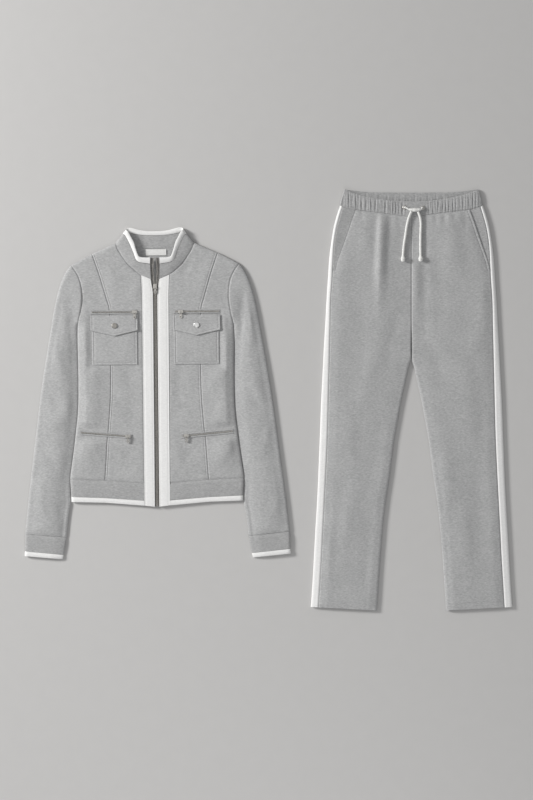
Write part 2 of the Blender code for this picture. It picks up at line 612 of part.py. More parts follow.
def plackets():
    """White strips beside the zip, a little thicker than the panels."""
    outer_line = smooth(PLACKET_OUTER, 4)
    inner_line = smooth(PLACKET_INNER, 4)
    heights = [-61.6] + [row["front"] for row in JACKET_ROWS if row["front"] <= 501.5]
    far = shifted(at_height(outer_line, heights), SEAM / 2)
    near_heights = np.interp(heights, (-61.6, 380.0, 501.5), (-64.9, 377.0, 491.9))
    near = at_height(inner_line, near_heights)
    plan = columns(near, far, 2)
    height = np.full(plan.shape[:2], JACKET["lay"])
    outer = np.dstack([plan, height + 0.4])
    inner = np.dstack([plan, height - CLOTH])
    for word, side in SIDES.items():
        wall(f"placket_{word}", [(outer, inner)], "trim", JACKET, side)


def collar_stand(key, along):
    """Low and high z of the collar between two of its levels."""
    levels = ("seam", "bind", "top")
    place = levels.index(key) + along
    low = np.interp(place, range(3), [COLLAR_STAND[level][0] for level in levels])
    high = np.interp(place, range(3), [COLLAR_STAND[level][1] for level in levels])
    return low, high


def collar(lines):
    """The stand collar and its binding: a flattened ring, open at the zip."""
    fold = next(station for station in COLLAR if station["side"] == 0)
    fold_line = np.array([fold["seam"], fold["top"]])
    up = np.array([station["side"] for station in COLLAR], float)
    points = {key: np.array([station[key] for station in COLLAR]) for key in ("bind", "top")}
    neck = iter(shifted(lines["front"], SEAM)[NECK_ROW:])
    points["seam"] = np.array([station["seam"] or next(neck) for station in COLLAR])
    spans = {
        "collar": ("knit", [("seam", "bind", 0.0), ("seam", "bind", 0.5), ("seam", "bind", 1.0)]),
        "collar_binding": ("trim", [("bind", "top", 0.08), ("bind", "top", 0.5),
                                    ("bind", "top", 1.0)]),
    }
    for name, (kind, rows) in spans.items():
        outers, inners = [], []
        for start, end, along in rows:
            plan = (points[start] + (points[end] - points[start]) * along)[None]
            low, high = collar_stand(start, along)
            tip = (up == 0)[None]
            outer, inner = lay(plan, up, [(fold_line, 1)], np.full(plan.shape[:2], high - low),
                               tip=tip, split=False)
            outer[..., 2] += low
            inner[..., 2] += low
            outers.append(outer)
            inners.append(inner)
        outer, inner = np.vstack(outers), np.vstack(inners)
        flip = np.array([-1, 1, 1])
        outer = np.hstack([outer, (outer * flip)[:, -2::-1]])
        inner = np.hstack([inner, (inner * flip)[:, -2::-1]])
        wall(name, [(outer, inner)], kind, JACKET)


def front_rise(heights):
    """How far the collar's front end has risen above the jacket at given heights."""
    front = COLLAR[0]
    levels = ("seam", "bind", "top")
    return np.interp(heights, [front[level][1] for level in levels],
                     [COLLAR_STAND[level][1] - COLLAR_STAND["seam"][1] for level in levels])


def centre_zip():
    """Zip tapes under the plackets and collar, and a row of teeth along each."""
    heights = np.array([row["y"] for row in ZIP["rows"]])
    gap = np.array([row["gap"] for row in ZIP["rows"]])
    rise = front_rise(heights)[:, None]
    teeth_far = gap + ZIP["teeth_width"]
    spans = {
        "zip_teeth": (gap, teeth_far, ZIP["teeth_top"], ZIP["tape_z"], "metal"),
        "zip_tape": (teeth_far + SEAM, np.full(len(gap), ZIP["tape_outer"]),
                     ZIP["tape_z"] + ZIP["tape_wall"], ZIP["tape_z"], "tape"),
    }
    for name, (near, far, top, bottom, kind) in spans.items():
        plan = np.stack([np.column_stack([near, heights]), np.column_stack([far, heights])], 1)
        outer = np.dstack([plan, top + rise * np.ones(plan.shape[:2])])
        inner = np.dstack([plan, bottom + rise * np.ones(plan.shape[:2])])
        for word, side in SIDES.items():
            wall(f"{name}_{word}", [(outer, inner)], kind, JACKET, side)


def slab(name, plan, bottom, thick, kind, side=1, lift=0.0):
    """A plate on a panel: plan rows raised from `bottom`, with an extra lift where given."""
    outer = np.dstack([plan, np.full(plan.shape[:2], bottom + thick) + lift])
    inner = np.dstack([plan, np.full(plan.shape[:2], bottom) + lift])
    return wall(name, [(outer, inner)], kind, JACKET, side)


def rectangle(size, count=2):
    low = np.array([[size["inner"], size["low"]], [size["inner"], size["high"]]])
    high = np.array([[size["outer"], size["low"]], [size["outer"], size["high"]]])
    return columns(low, high, count)


def chest_pocket(word, side):
    """Zip, patch, pointed flap and snap button of one chest pocket."""
    on_panel = JACKET["lay"] + SEAM
    slab(f"chest_zip_{word}", rectangle(CHEST_ZIP), on_panel, TRIM, "metal", side)
    slab(f"chest_patch_{word}", rectangle(CHEST_PATCH), on_panel, TRIM, "knit", side)

    size = CHEST_FLAP
    across = np.array([size["inner"], 72.0, size["point"][0], 129.0, size["outer"]])
    edge = np.interp(across, (size["inner"], size["point"][0], size["outer"]),
                     (size["corner_y"], size["point"][1], size["corner_y"]))
    share = np.array([0.0, 0.28, 0.55, 1.0])[:, None]
    heights = edge + (size["high"] - edge) * share
    plan = np.dstack([np.broadcast_to(across, heights.shape), heights])
    span = size["lift_from"] - size["point"][1]
    lift = size["lift"] * (np.clip(size["lift_from"] - heights, 0, None) / span) ** 2
    on_patch = on_panel + TRIM + SEAM
    slab(f"chest_flap_{word}", plan, on_patch, FLAP, "knit", side, lift)

    seat = on_patch + FLAP + SEAM
    reach = size["lift_from"] - BUTTON["y"] + BUTTON["radius"]
    seat += size["lift"] * (max(reach, 0) / span) ** 2
    profile = [(0.0, BUTTON["rise"]), (0.45, BUTTON["rise"]), (0.8, BUTTON["rise"] * 0.8),
               (1.0, BUTTON["rise"] * 0.3), (0.96, 0.0), (0.0, 0.0)]
    turned(f"chest_button_{word}", [(r * BUTTON["radius"], z) for r, z in profile],
           (BUTTON["x"], BUTTON["y"], seat), JACKET, side)


def turned(name, profile, centre, garment, side=1, around=16, ring=False):
    """A profile of radius and height turned about an upright axis; a ring's profile is closed."""
    angle = np.linspace(0, 2 * np.pi, around, endpoint=False)
    points, faces = [], []
    loops = []
    for radius, height in profile:
        if radius == 0:
            loops.append([len(points)] * around)
            points.append((0, 0, height))
            continue
        loops.append(list(range(len(points), len(points) + around)))
        points.extend(zip(radius * np.cos(angle), radius * np.sin(angle), [height] * around))
    pairs = list(zip(loops, loops[1:] + (loops[:1] if ring else [])))
    if not ring:
        pairs = pairs[:len(loops) - 1]
    for one, two in pairs:
        for k in range(around):
            face = [one[k], one[(k + 1) % around], two[(k + 1) % around], two[k]]
            face = list(dict.fromkeys(face))
            if len(face) > 2:
                faces.append(face)
    points = np.array(points, float) + np.array(centre)
    return finish(name, placed(points, garment, side), faces, "metal")


def side_zip(word, side):
    """The slanted zip of one lower pocket."""
    start, end = np.array(SIDE_ZIP["inner"]), np.array(SIDE_ZIP["outer"])
    across = (end - start) / np.linalg.norm(end - start)
    up = SIDE_ZIP["half"] * np.array([-across[1], across[0]])
    plan = columns(np.array([start - up, start + up]), np.array([end - up, end + up]), 2)
    slab(f"side_zip_{word}", plan, JACKET["lay"] + SEAM, TRIM, "metal", side)


def neck_label():
    """Blank label on the back panel's inside, just under the neck seam."""
    half, tall = LABEL["width"] / 2, LABEL["height"] / 2
    x, y = LABEL["x"], LABEL["y"]
    plan = columns(np.array([[x - half, y - tall], [x - half, y + tall]]),
                   np.array([[x + half, y - tall], [x + half, y + tall]]), 2)
    slab("neck_label", plan, CLOTH + SEAM, LABEL["wall"], "label")


def box(name, low, high):
    """An upright block between two corners, in metres, as a bare mesh object."""
    mesh = bpy.data.meshes.new(name)
    work = bmesh.new()
    bmesh.ops.create_cube(work, size=1.0)
    low, high = np.array(low), np.array(high)
    for vertex in work.verts:
        vertex.co = (low + high) / 2 + np.array(vertex.co) * (high - low)
    work.to_mesh(mesh)
    work.free()
    thing = bpy.data.objects.new(name, mesh)
    bpy.context.collection.objects.link(thing)
    return thing


def combine(thing, other, operation):
    """A Boolean on `thing`, whose tool stays in the file as a hidden guide."""
    other.hide_render = True
    other.display_type = "WIRE"
    modifier = thing.modifiers.new(operation.title(), "BOOLEAN")
    modifier.operation = operation
    modifier.object = other
    modifier.solver = "EXACT"


def zip_slider(name, x, y, z, along):
    """A zip slider: plate on the teeth, and a bridge over the pull's bar. Returns its axis.

    The plate lies along "y" on the centre zip, and along "x" on a pocket's.
    """
    wide, long = SLIDER["width"], SLIDER["length"]
    half = (wide / 2, long / 2) if along == "y" else (long / 2, wide / 2)
    plate_top = z + SLIDER["base"]
    axis_z = plate_top + SLIDER["half_height"] + 0.1
    axis_y = y + (-2.4 if along == "y" else -0.9)
    plate = box(name, (x - half[0], y - half[1], z), (x + half[0], y + half[1], plate_top))
    bevel = plate.modifiers.new("Bevel", "BEVEL")
    bevel.width = SLIDER["bevel"]
    bevel.segments = 1
    bevel.limit_method = "ANGLE"
    reach = SLIDER["opening"] + SLIDER["leg"]
    top = axis_z + SLIDER["half_height"] + SLIDER["leg"]
    bridge_half = SLIDER["bridge_width"] / 2
    bridge = box(name + "_bridge", (x - bridge_half, axis_y - reach, plate_top - 0.8),
                 (x + bridge_half, axis_y + reach, top))
    way = box(name + "_way", (x - wide, axis_y - SLIDER["opening"], plate_top),
              (x + wide, axis_y + SLIDER["opening"], axis_z + SLIDER["half_height"]))
    combine(plate, bridge, "UNION")
    combine(plate, way, "DIFFERENCE")
    return plate, [bridge, way], (x, axis_y, axis_z)


def outline_prism(name, outline, low, high):
    """A flat outline raised from `low` to `high` along z."""
    count = len(outline)
    points = [(x, y, low) for x, y in outline] + [(x, y, high) for x, y in outline]
    faces = [list(range(count))[::-1], list(range(count, 2 * count))]
    faces += [[k, (k + 1) % count, (k + 1) % count + count, k + count] for k in range(count)]
    mesh = bpy.data.meshes.new(name)
    mesh.from_pydata(points, [], faces)
    work = bmesh.new()
    work.from_mesh(mesh)
    bmesh.ops.recalc_face_normals(work, faces=work.faces)
    work.to_mesh(mesh)
    work.free()
    thing = bpy.data.objects.new(name, mesh)
    bpy.context.collection.objects.link(thing)
    return thing


def pull_outline():
    """Half outline of a pull: square head, narrow neck, then a drop with a round end."""
    widest, at, end = PULL["widest"], PULL["widest_at"], PULL["length"]
    turn = np.radians(np.linspace(0, 90, 6))[:-1]
    drop = [(widest * math.cos(t), -(at + (end - at) * math.sin(t))) for t in turn]
    half = [(PULL["head_half"], PULL["bar"]), (PULL["head_half"], -3.6), (2.5, -5.6),
            (3.0, -8.2)] + drop
    bottom = [(0.0, -end)]
    return half + bottom + [(-x, y) for x, y in half[::-1]]


def zip_pull(name, tilt):
    """A pull tab about its own axis, tipped down until it nearly touches the cloth."""
    wall_half = PULL["wall"] / 2
    pull = outline_prism(name, pull_outline(), -wall_half, wall_half)
    window = outline_prism(name + "_window", [
        (-PULL["window_half"], -PULL["bar"]), (PULL["window_half"], -PULL["bar"]),
        (PULL["window_half"], -PULL["window_end"]), (-PULL["window_half"], -PULL["window_end"]),
    ], -2, 2)
    angle = np.linspace(0, 2 * np.pi, 10, endpoint=False)
    hole = outline_prism(name + "_hole", [
        (PULL["hole_radius"] * math.cos(a), -PULL["hole_at"] + PULL["hole_radius"] * math.sin(a))
        for a in angle], -2, 2)
    for tool in (window, hole):
        tool.parent = pull
        combine(pull, tool, "DIFFERENCE")
    pull.rotation_euler = (math.radians(tilt), 0, 0)
    return pull


def set_down(thing, garment, x=0.0, y=0.0, z=0.0):
    """Puts an object that was made in millimetres where its garment lies."""
    place = placed(np.array([[x, y, z]], float), garment)[0]
    thing.location = place
    thing.scale = (MM, MM, MM)
    thing.rotation_euler[2] = math.radians(garment["turn"])


def zip_ends():
    """Every slider with its pull: the centre zip's, and one on each pocket's."""
    slope = (SIDE_ZIP["outer"][1] - SIDE_ZIP["inner"][1]) / 127
    on_zip = JACKET["lay"] + SEAM + TRIM + SEAM
    places = [
        {"name": "zip", "x": 0.0, "y": 474.0, "z": ZIP["teeth_top"] + SEAM, "along": "y",
         "tilt": 6.0},
        {"name": "chest_left", "x": -51.0, "y": 411.6, "z": on_zip, "along": "x", "tilt": 3.0},
        {"name": "chest_right", "x": 62.0, "y": 411.6, "z": on_zip, "along": "x", "tilt": 3.0},
        {"name": "side_left", "x": -69.5, "y": 107.0 + 9.5 * slope, "z": on_zip, "along": "x",
         "tilt": 8.0},
        {"name": "side_right", "x": 73.0, "y": 107.0 + 13.0 * slope, "z": on_zip, "along": "x",
         "tilt": 8.0},
    ]
    for place in places:
        name = place["name"]
        label = "zip_slider" if name == "zip" else f"{name}_slider"
        slider, tools, axis = zip_slider(label, place["x"], place["y"], place["z"],
                                         place["along"])
        for thing in [slider, *tools]:
            set_down(thing, JACKET)
        slider.data.materials.append(material(label, "metal"))
        label = "zip_pull" if name == "zip" else f"{name}_pull"
        pull = zip_pull(label, place["tilt"])
        set_down(pull, JACKET, *axis)
        pull.data.materials.append(material(label, "metal"))


def trouser_lines():
    inner = smooth(INSEAM)
    rows = TROUSER_ROWS
    inside = at_height(inner, [row["inner"] for row in rows])
    inside[:CROTCH_ROW + 1, 0] = SEAM / 2
    return {
        "inside": inside,
        "stripe": at_height(smooth(STRIPE_INNER), [row["stripe"] for row in rows]),
        "side": at_height(smooth(TROUSER_SIDE), [row["side"] for row in rows]),
        "mouth": np.array([row["mouth"] for row in rows if row["mouth"]]),
        "edges": [(smooth(TROUSER_SIDE), -1), (inner, 1)],
    }


def trouser_height(plan):
    return np.full(plan.shape[:2], TROUSERS["lay"])


def trouser_legs(lines):
    """Front and back legs, side stripes and pocket facings."""
    rows = len(TROUSER_ROWS)
    mouths = len(lines["mouth"])
    edges = lines["edges"]
    inseam_tip = np.arange(rows) > CROTCH_ROW
    front_reach = shifted(lines["stripe"], -SEAM / 2)
    front_reach[:mouths] = shifted(lines["mouth"], -SEAM / 2)
    for word, side in SIDES.items():
        folds = [dict(fold, top=(side * fold["top"][0], fold["top"][1]),
                      foot=(side * fold["foot"][0], fold["foot"][1]))
                 for fold in TROUSER_FOLDS if fold["top"][0] * side > 0]
        plan = columns(lines["inside"], front_reach, 7, roll_in=True)
        tip = np.zeros(plan.shape[:2], bool)
        tip[inseam_tip, 0] = True
        away, _ = from_edges(plan.reshape(-1, 2), edges)
        fade = np.clip((away.reshape(plan.shape[:2]) - ROLL * 0.5) / 14, 0, 1)
        rise = fold_height(plan, folds) * fade
        outer, inner = lay(plan, 1, edges, trouser_height(plan), tip=tip, rise=rise)
        hold_seam(outer, inner, 0, slice(0, CROTCH_ROW + 1))
        hold_seam(outer, inner, -1)
        wall(f"trouser_front_{word}", [(outer, inner)], "knit", TROUSERS, side)

        inside = lines["inside"].copy()
        inside[0, 1] = WAIST["back_seam"][0][1] - SEAM
        plan = columns(inside, shifted(lines["stripe"], -SEAM / 2), 4, roll_in=True)
        tip = np.zeros(plan.shape[:2], bool)
        tip[inseam_tip, 0] = True
        outer, inner = lay(plan, -1, edges, trouser_height(plan), tip=tip)
        hold_seam(outer, inner, 0, slice(0, CROTCH_ROW + 1))
        hold_seam(outer, inner, -1)
        wall(f"trouser_back_{word}", [(outer, inner)], "knit", TROUSERS, side)

        half = columns(shifted(lines["stripe"], SEAM / 2), lines["side"], 1, roll_out=True)
        plan = np.hstack([half, half[:, -2::-1]])
        up = np.ones(plan.shape[1])
        up[half.shape[1] - 1] = 0
        up[half.shape[1]:] = -1
        tip = np.zeros(plan.shape[:2], bool)
        tip[:, half.shape[1] - 1] = True
        outer, inner = lay(plan, up, edges, trouser_height(plan), tip=tip, split=False)
        hold_seam(outer, inner, 0)
        hold_seam(outer, inner, -1)
        wall(f"side_stripe_{word}", [(outer, inner)], "trim", TROUSERS, side)

        near = shifted(lines["mouth"], SEAM / 2)
        far = shifted(lines["stripe"], -SEAM / 2)[:mouths]
        plan = columns(near, far, 3)
        wide = np.linalg.norm(far - near, axis=1)[:, None]
        share = np.linspace(0, 1, plan.shape[1])[None]
        drop = -POCKET_STEP * (1 - share ** 2) * np.clip(wide / 24, 0, 1)
        outer, inner = lay(plan, 1, edges, trouser_height(plan), wall=CLOTH - 0.3, rise=drop)
        hold_seam(outer, inner, 0)
        hold_seam(outer, inner, -1)
        wall(f"pocket_facing_{word}", [(outer, inner)], "knit", TROUSERS, side)


def gathers(x, count, span):
    """A wave across the band, uneven in pitch and height, worked out from its count."""
    turn = 2 * np.pi * count * (x / span)
    uneven = 0.9 * np.sin(turn * 0.23 + 1.1) + 0.5 * np.sin(turn * 0.11)
    height = 0.62 + 0.38 * np.sin(turn * 0.17 + 0.6)
    return (0.5 + 0.5 * np.cos(turn + uneven)) * height


def waistband(lines):
    """The gathered waistband: one flat ring, its front edge dipping below the back one."""
    half_front = WAIST["front_gathers"] * WAIST["columns_each"] // 2
    half_back = WAIST["back_gathers"] * WAIST["columns_each"] // 2
    span = 2 * WAIST["front_seam"][-1][0]

    def row(seam, top, along, count):
        seam, top = np.array(seam), np.array(top)
        edge = np.array([seam[-1], top[-1]])
        edge_x = edge[0, 0] + (edge[1, 0] - edge[0, 0]) * along
        x = np.concatenate([np.linspace(0, edge_x - ROLL, count),
                            edge_x - ROLL * np.array(ROLL_STEPS[1:])])
        scale = x / edge_x
        low = np.interp(scale * edge[0, 0], seam[:, 0], seam[:, 1])
        high = np.interp(scale * edge[1, 0], top[:, 0], top[:, 1])
        return np.column_stack([x, low + (high - low) * along])

    outers, inners = [], []
    for along in (0.0, 0.5, 1.0):
        front = row(WAIST["front_seam"], WAIST["front_top"], along, half_front)
        back = row(WAIST["back_seam"], WAIST["back_top"], along, half_back)
        front = np.vstack([front[:0:-1] * (-1, 1), front])
        back = np.vstack([back[-2::-1], (back[1:] * (-1, 1))[:-1]])
        plan = np.vstack([front, back])[None]
        up = np.ones(plan.shape[1])
        up[len(front):] = -1
        up[[0, len(front) - 1]] = 0
        tip = (up == 0)[None]
        outer, inner = lay(plan, up, lines["edges"], trouser_height(plan), WAIST["wall"], tip,
                           split=False)
        away, _ = from_edges(plan[0], lines["edges"])
        flat = np.clip((away - ROLL) / 6, 0, 1)[None]
        knot = np.clip((np.abs(plan[..., 0] - KNOT["x"]) - 30) / 12, 0, 1)
        fade = flat * (0.45 + 0.55 * np.sin(np.pi * np.clip(along * 0.9 + 0.15, 0, 1)))
        front_wave = gathers(plan[..., 0], WAIST["front_gathers"], span)
        back_wave = gathers(plan[..., 0], WAIST["back_gathers"], span)
        outer[..., 2] += WAIST["rise"] * front_wave * fade * knot * (up > 0)
        inner[..., 2] += WAIST["rise"] * back_wave * fade * (up < 0)
        outers.append(outer)
        inners.append(inner)
    wall("waistband", [(np.vstack(outers), np.vstack(inners))], "knit", TROUSERS, loop=True)


def tube(name, route, radii, kind, garment, around=1):
    """A cord: a round bevelled curve with filled ends through a route's points, in mm."""
    curve = bpy.data.curves.new(name, "CURVE")
    curve.dimensions = "3D"
    curve.bevel_depth = MM
    curve.bevel_resolution = around
    curve.use_fill_caps = True
    spline = curve.splines.new("POLY")
    spline.points.add(len(route) - 1)
    for point, place, radius in zip(spline.points, placed(np.array(route), garment), radii):
        point.co = (*place, 1.0)
        point.radius = radius
    curve.materials.append(material(name, kind))
    thing = bpy.data.objects.new(name, curve)
    bpy.context.collection.objects.link(thing)
    return thing


def drawstring():
    """Two eyelets, the knotted bar between them, and the two free tails with knotted ends."""
    on_band = TROUSERS["lay"] + SEAM
    size = EYELET
    ring = [(size["hole"], 0.0), (size["outer"], 0.0), (size["outer"] - 0.5, size["rise"] * 0.7),
            ((size["hole"] + size["outer"]) / 2, size["rise"]),
            (size["hole"] + 0.2, size["rise"] * 0.6)]
    for place, word in zip(EYELETS, SIDES):
        turned(f"eyelet_{word}", ring, (place["x"], place["y"], on_band), TROUSERS, ring=True,
               around=12)

    bar_z = on_band + KNOT["radius"]
    bend = KNOT["bend"]
    arc = np.radians((0, 45, 90))
    ends = []
    for place, way in zip(EYELETS, (1, -1)):
        turn_z = on_band + size["rise"] + SEAM + KNOT["in_eyelet"] - bend
        ends.append([(place["x"], place["y"], on_band + SEAM)] + [
            (place["x"] + way * bend * (1 - math.cos(t)), place["y"], turn_z + bend * math.sin(t))
            for t in arc])
    share = np.linspace(-1, 1, 9)
    middle = [(KNOT["x"] + KNOT["half"] * s, KNOT["y"] + 2.0 * s * s, bar_z) for s in share]
    thick = KNOT["radius"] - KNOT["in_eyelet"]
    radii = KNOT["in_eyelet"] + thick * np.cos(share * np.pi / 2) ** 0.8
    thin = [KNOT["in_eyelet"]] * len(ends[0])
    tube("drawstring_knot", ends[0] + middle + ends[1][::-1], [*thin, *radii, *thin], "trim",
         TROUSERS)

    for word, points in CORD_ROUTES.items():
        path = smooth(points, 3)
        radii = np.full(len(path), CORD["radius"])
        radii[-len(CORD_END):] = CORD_END
        folds = [fold for fold in TROUSER_FOLDS if fold["top"][0] * SIDES[word] > 0]
        sides = path[:, None] + radii[:, None, None] * np.array([(-1, 0), (0, 0), (1, 0)])[None]
        rest = fold_height(sides, folds).max(1).clip(0, None) + TROUSERS["lay"] + CORD["clear"]
        down = np.clip((path[0, 1] - path[:, 1]) / CORD["from_knot"], 0, 1)
        height = (rest + radii) * down + bar_z * (1 - down)
        tube(f"drawstring_{word}", np.column_stack([path, height]), radii, "trim", TROUSERS)


def build():
    for old in list(bpy.data.objects):
        bpy.data.objects.remove(old, do_unlink=True)
    lines = jacket_lines()
    edges = jacket_edges(lines)
    jacket_panels(lines, edges)
    sleeves(lines, edges)
    cuffs(edges)
    hems(edges)
    plackets()
    collar(lines)
    centre_zip()
    for word, side in SIDES.items():
        chest_pocket(word, side)
        side_zip(word, side)
    neck_label()
    zip_ends()
    legs = trouser_lines()
    trouser_legs(legs)
    waistband(legs)
    drawstring()


build()
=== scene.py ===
# A loungewear set laid flat: zip jacket on the left, drawstring trousers on the right.
# Tables are in millimetres in each garment's own frame: x out from its centre line, y up
# towards the neck or waist, z up from the surface. A half's table is mirrored for the other.
import math

import bmesh
import bpy
import numpy as np
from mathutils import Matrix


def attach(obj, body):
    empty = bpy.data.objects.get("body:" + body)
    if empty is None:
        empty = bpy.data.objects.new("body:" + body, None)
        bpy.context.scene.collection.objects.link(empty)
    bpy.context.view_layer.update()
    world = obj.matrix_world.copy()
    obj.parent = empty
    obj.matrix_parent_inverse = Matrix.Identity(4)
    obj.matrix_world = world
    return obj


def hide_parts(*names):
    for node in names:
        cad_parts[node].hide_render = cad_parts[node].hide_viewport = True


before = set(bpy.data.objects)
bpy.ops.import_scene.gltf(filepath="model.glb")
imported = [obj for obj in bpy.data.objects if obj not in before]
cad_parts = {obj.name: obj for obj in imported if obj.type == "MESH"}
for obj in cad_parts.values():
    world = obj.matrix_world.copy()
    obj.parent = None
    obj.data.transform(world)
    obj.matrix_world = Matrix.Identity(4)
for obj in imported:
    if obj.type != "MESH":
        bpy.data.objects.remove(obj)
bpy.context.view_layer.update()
scene = bpy.context.scene
print("frame loaded:", len(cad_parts), "nodes")

mm = 0.001
halves = {"Left": -1, "Right": 1}
jacket = {"x": -272.6, "y": -196.4, "turn": 0.55, "lay": 7.6, "node": "garments"}
trousers = {"x": 349.8, "y": 0.2, "turn": 0.0, "lay": 7.0, "node": "garments"}
cloth = {"wall": 1.6, "seam": 0.3, "roll": 9.0, "slit": 0.8, "spacing": 4.0}

# Studio: straight down on a plain floor, key light low from the upper left, soft sky above
studio = {
    "focal": 100.0, "height": 5.44, "middle": (-0.0049, -0.0004),
    "keyPlace": (-4.6, 1.7, 2.25), "keySize": 1.1, "keyPower": 300.0, "keyColour": (1.0, 0.99, 0.975),
    "fillPlace": (0.6, 0.4, 4.2), "fillSize": 3.2, "fillPower": 17.0,
    "lowPlace": (0.1, -2.1, 1.5), "lowAim": (0.05, -1.25, 0.0), "lowSize": 1.2, "lowPower": 8.0,
    "sky": 0.31, "floor": (0.56, 0.555, 0.55),
}


def areaLight(name, place, aim, size, power, colour=(1.0, 1.0, 1.0)):
    lamp = bpy.data.lights.new(name, "AREA")
    lamp.size, lamp.energy, lamp.color = size, power, colour
    thing = bpy.data.objects.new(name, lamp)
    thing.location = place
    reach = np.array(aim) - np.array(place)
    turn = math.atan2(reach[1], reach[0])
    tip = math.acos(-reach[2] / np.linalg.norm(reach))
    thing.rotation_euler = (tip, 0.0, turn - math.pi / 2)
    scene.collection.objects.link(thing)


eye = bpy.data.cameras.new("camera")
eye.lens, eye.sensor_width, eye.clip_end = studio["focal"], 36.0, 60.0
camera = bpy.data.objects.new("camera", eye)
camera.location = (*studio["middle"], studio["height"])
scene.collection.objects.link(camera)
scene.camera = camera
areaLight("key", studio["keyPlace"], (0.0, 0.0, 0.0), studio["keySize"], studio["keyPower"], studio["keyColour"])
areaLight("fill", studio["fillPlace"], (0.0, 0.0, 0.0), studio["fillSize"], studio["fillPower"])
areaLight("low", studio["lowPlace"], studio["lowAim"], studio["lowSize"], studio["lowPower"])
scene.world = bpy.data.worlds.new("sky")
scene.world.use_nodes = True
scene.world.node_tree.nodes["Background"].inputs["Color"].default_value = (1.0, 1.0, 1.0, 1.0)
scene.world.node_tree.nodes["Background"].inputs["Strength"].default_value = studio["sky"]
scene.view_settings.view_transform = "Standard"
print("camera and lights placed")


# lines and heights
def softCurve(points, steps=5):
    # Catmull-Rom: each span is the cubic through its ends with its neighbours' slopes
    table = np.array(points, float)
    wide = np.vstack([2 * table[0] - table[1], table, 2 * table[-1] - table[-2]])
    t = np.linspace(0, 1, steps, endpoint=False)[:, None, None]
    a, b, c, d = wide[:-3], wide[1:-2], wide[2:-1], wide[3:]
    runs = 0.5 * (2 * b + (c - a) * t + (2 * a - 5 * b + 4 * c - d) * t ** 2
                  + (3 * b - a - 3 * c + d) * t ** 3)
    return np.vstack([runs.transpose(1, 0, 2).reshape(-1, 2), table[-1:]])


def atHeight(curve, heights):
    # x of a line that only climbs, or only falls, at the given y
    order = np.argsort(curve[:, 1], kind="stable")
    return np.column_stack([np.interp(heights, curve[order, 1], curve[order, 0]), heights])


def besideLine(points, distance):
    # every point moved to the line's left, along the line's own normal
    run = np.gradient(np.asarray(points, float), axis=0)
    run /= np.linalg.norm(run, axis=1)[:, None]
    return points + distance * np.column_stack([-run[:, 1], run[:, 0]])


def fromEdges(points, edges):
    # least distance to the edges' segments, and the unit way in from the nearest one
    nearest = np.full(len(points), 1e6)
    way = np.zeros((len(points), 2))
    for line, inside in edges:
        start, run = line[:-1], line[1:] - line[:-1]
        square = np.maximum((run ** 2).sum(1), 1e-12)
        reach = points[:, None, :] - start[None]
        share = np.clip((reach * run).sum(2) / square, 0, 1)
        gap = reach - share[..., None] * run
        distance = np.sqrt((gap ** 2).sum(2))
        pick = distance.argmin(1)
        here = distance[np.arange(len(points)), pick]
        normal = inside * np.column_stack([-run[pick, 1], run[pick, 0]])
        normal /= np.linalg.norm(normal, axis=1)[:, None]
        out = gap[np.arange(len(points)), pick] / np.maximum(here, 1e-9)[:, None]
        out = np.where((here < 0.3)[:, None], normal, out)
        way[here < nearest] = out[here < nearest]
        nearest = np.minimum(nearest, here)
    return nearest, way


rollSteps = cloth["roll"] * (1 - np.cos(np.radians(np.linspace(0, 90, 8))))    # even turns round the edge
seamSteps = np.array([0.0, 0.45, 1.0, 1.9, 3.4])                               # crowded beside a seam


def acrossSteps(length, near, far, spacing):
    # distances from the row's start: the near steps, even steps, then the far steps mirrored
    near = np.minimum(near[None], near[None] / near[-1] * 0.45 * length[:, None])
    far = np.minimum(far[None], far[None] / far[-1] * 0.45 * length[:, None])
    middle = length[:, None] - near[:, -1:] - far[:, -1:]
    count = max(int(np.median(middle) / spacing), 1)
    share = np.linspace(0, 1, count + 1)[1:-1][None]
    return np.hstack([near, near[:, -1:] + middle * share, length[:, None] - far[:, ::-1]])


def panelPlan(inside, outside, near=seamSteps, far=seamSteps, spacing=None):
    # rows of points between two lines; also each point's distance from either line
    reach = outside - inside
    length = np.linalg.norm(reach, axis=1)
    along = acrossSteps(length, near, far, spacing or cloth["spacing"])
    plan = inside[:, None] + reach[:, None] * (along / length[:, None])[..., None]
    return plan, along, length[:, None] - along


def refine(heights, most, ends=()):
    # a longer list of row numbers, in parts of a row, with no step over `most` mm
    marks = [0.0]
    for k, gap in enumerate(np.abs(np.diff(heights))):
        parts = max(int(math.ceil(gap / most)), 1)
        marks.extend(k + (np.arange(parts) + 1) / parts)
    return np.unique(np.concatenate([marks, list(ends)]).round(6))


def rowValues(rows, key, marks):
    return np.interp(marks, np.arange(len(rows)), [row[key] for row in rows])


def groove(distance, at, width, depth):
    # a soft narrow dip along a line at a distance from a border
    return -min(depth * 1.5, 1.25) * np.exp(-((distance - at) / (1.15 * width)) ** 2)


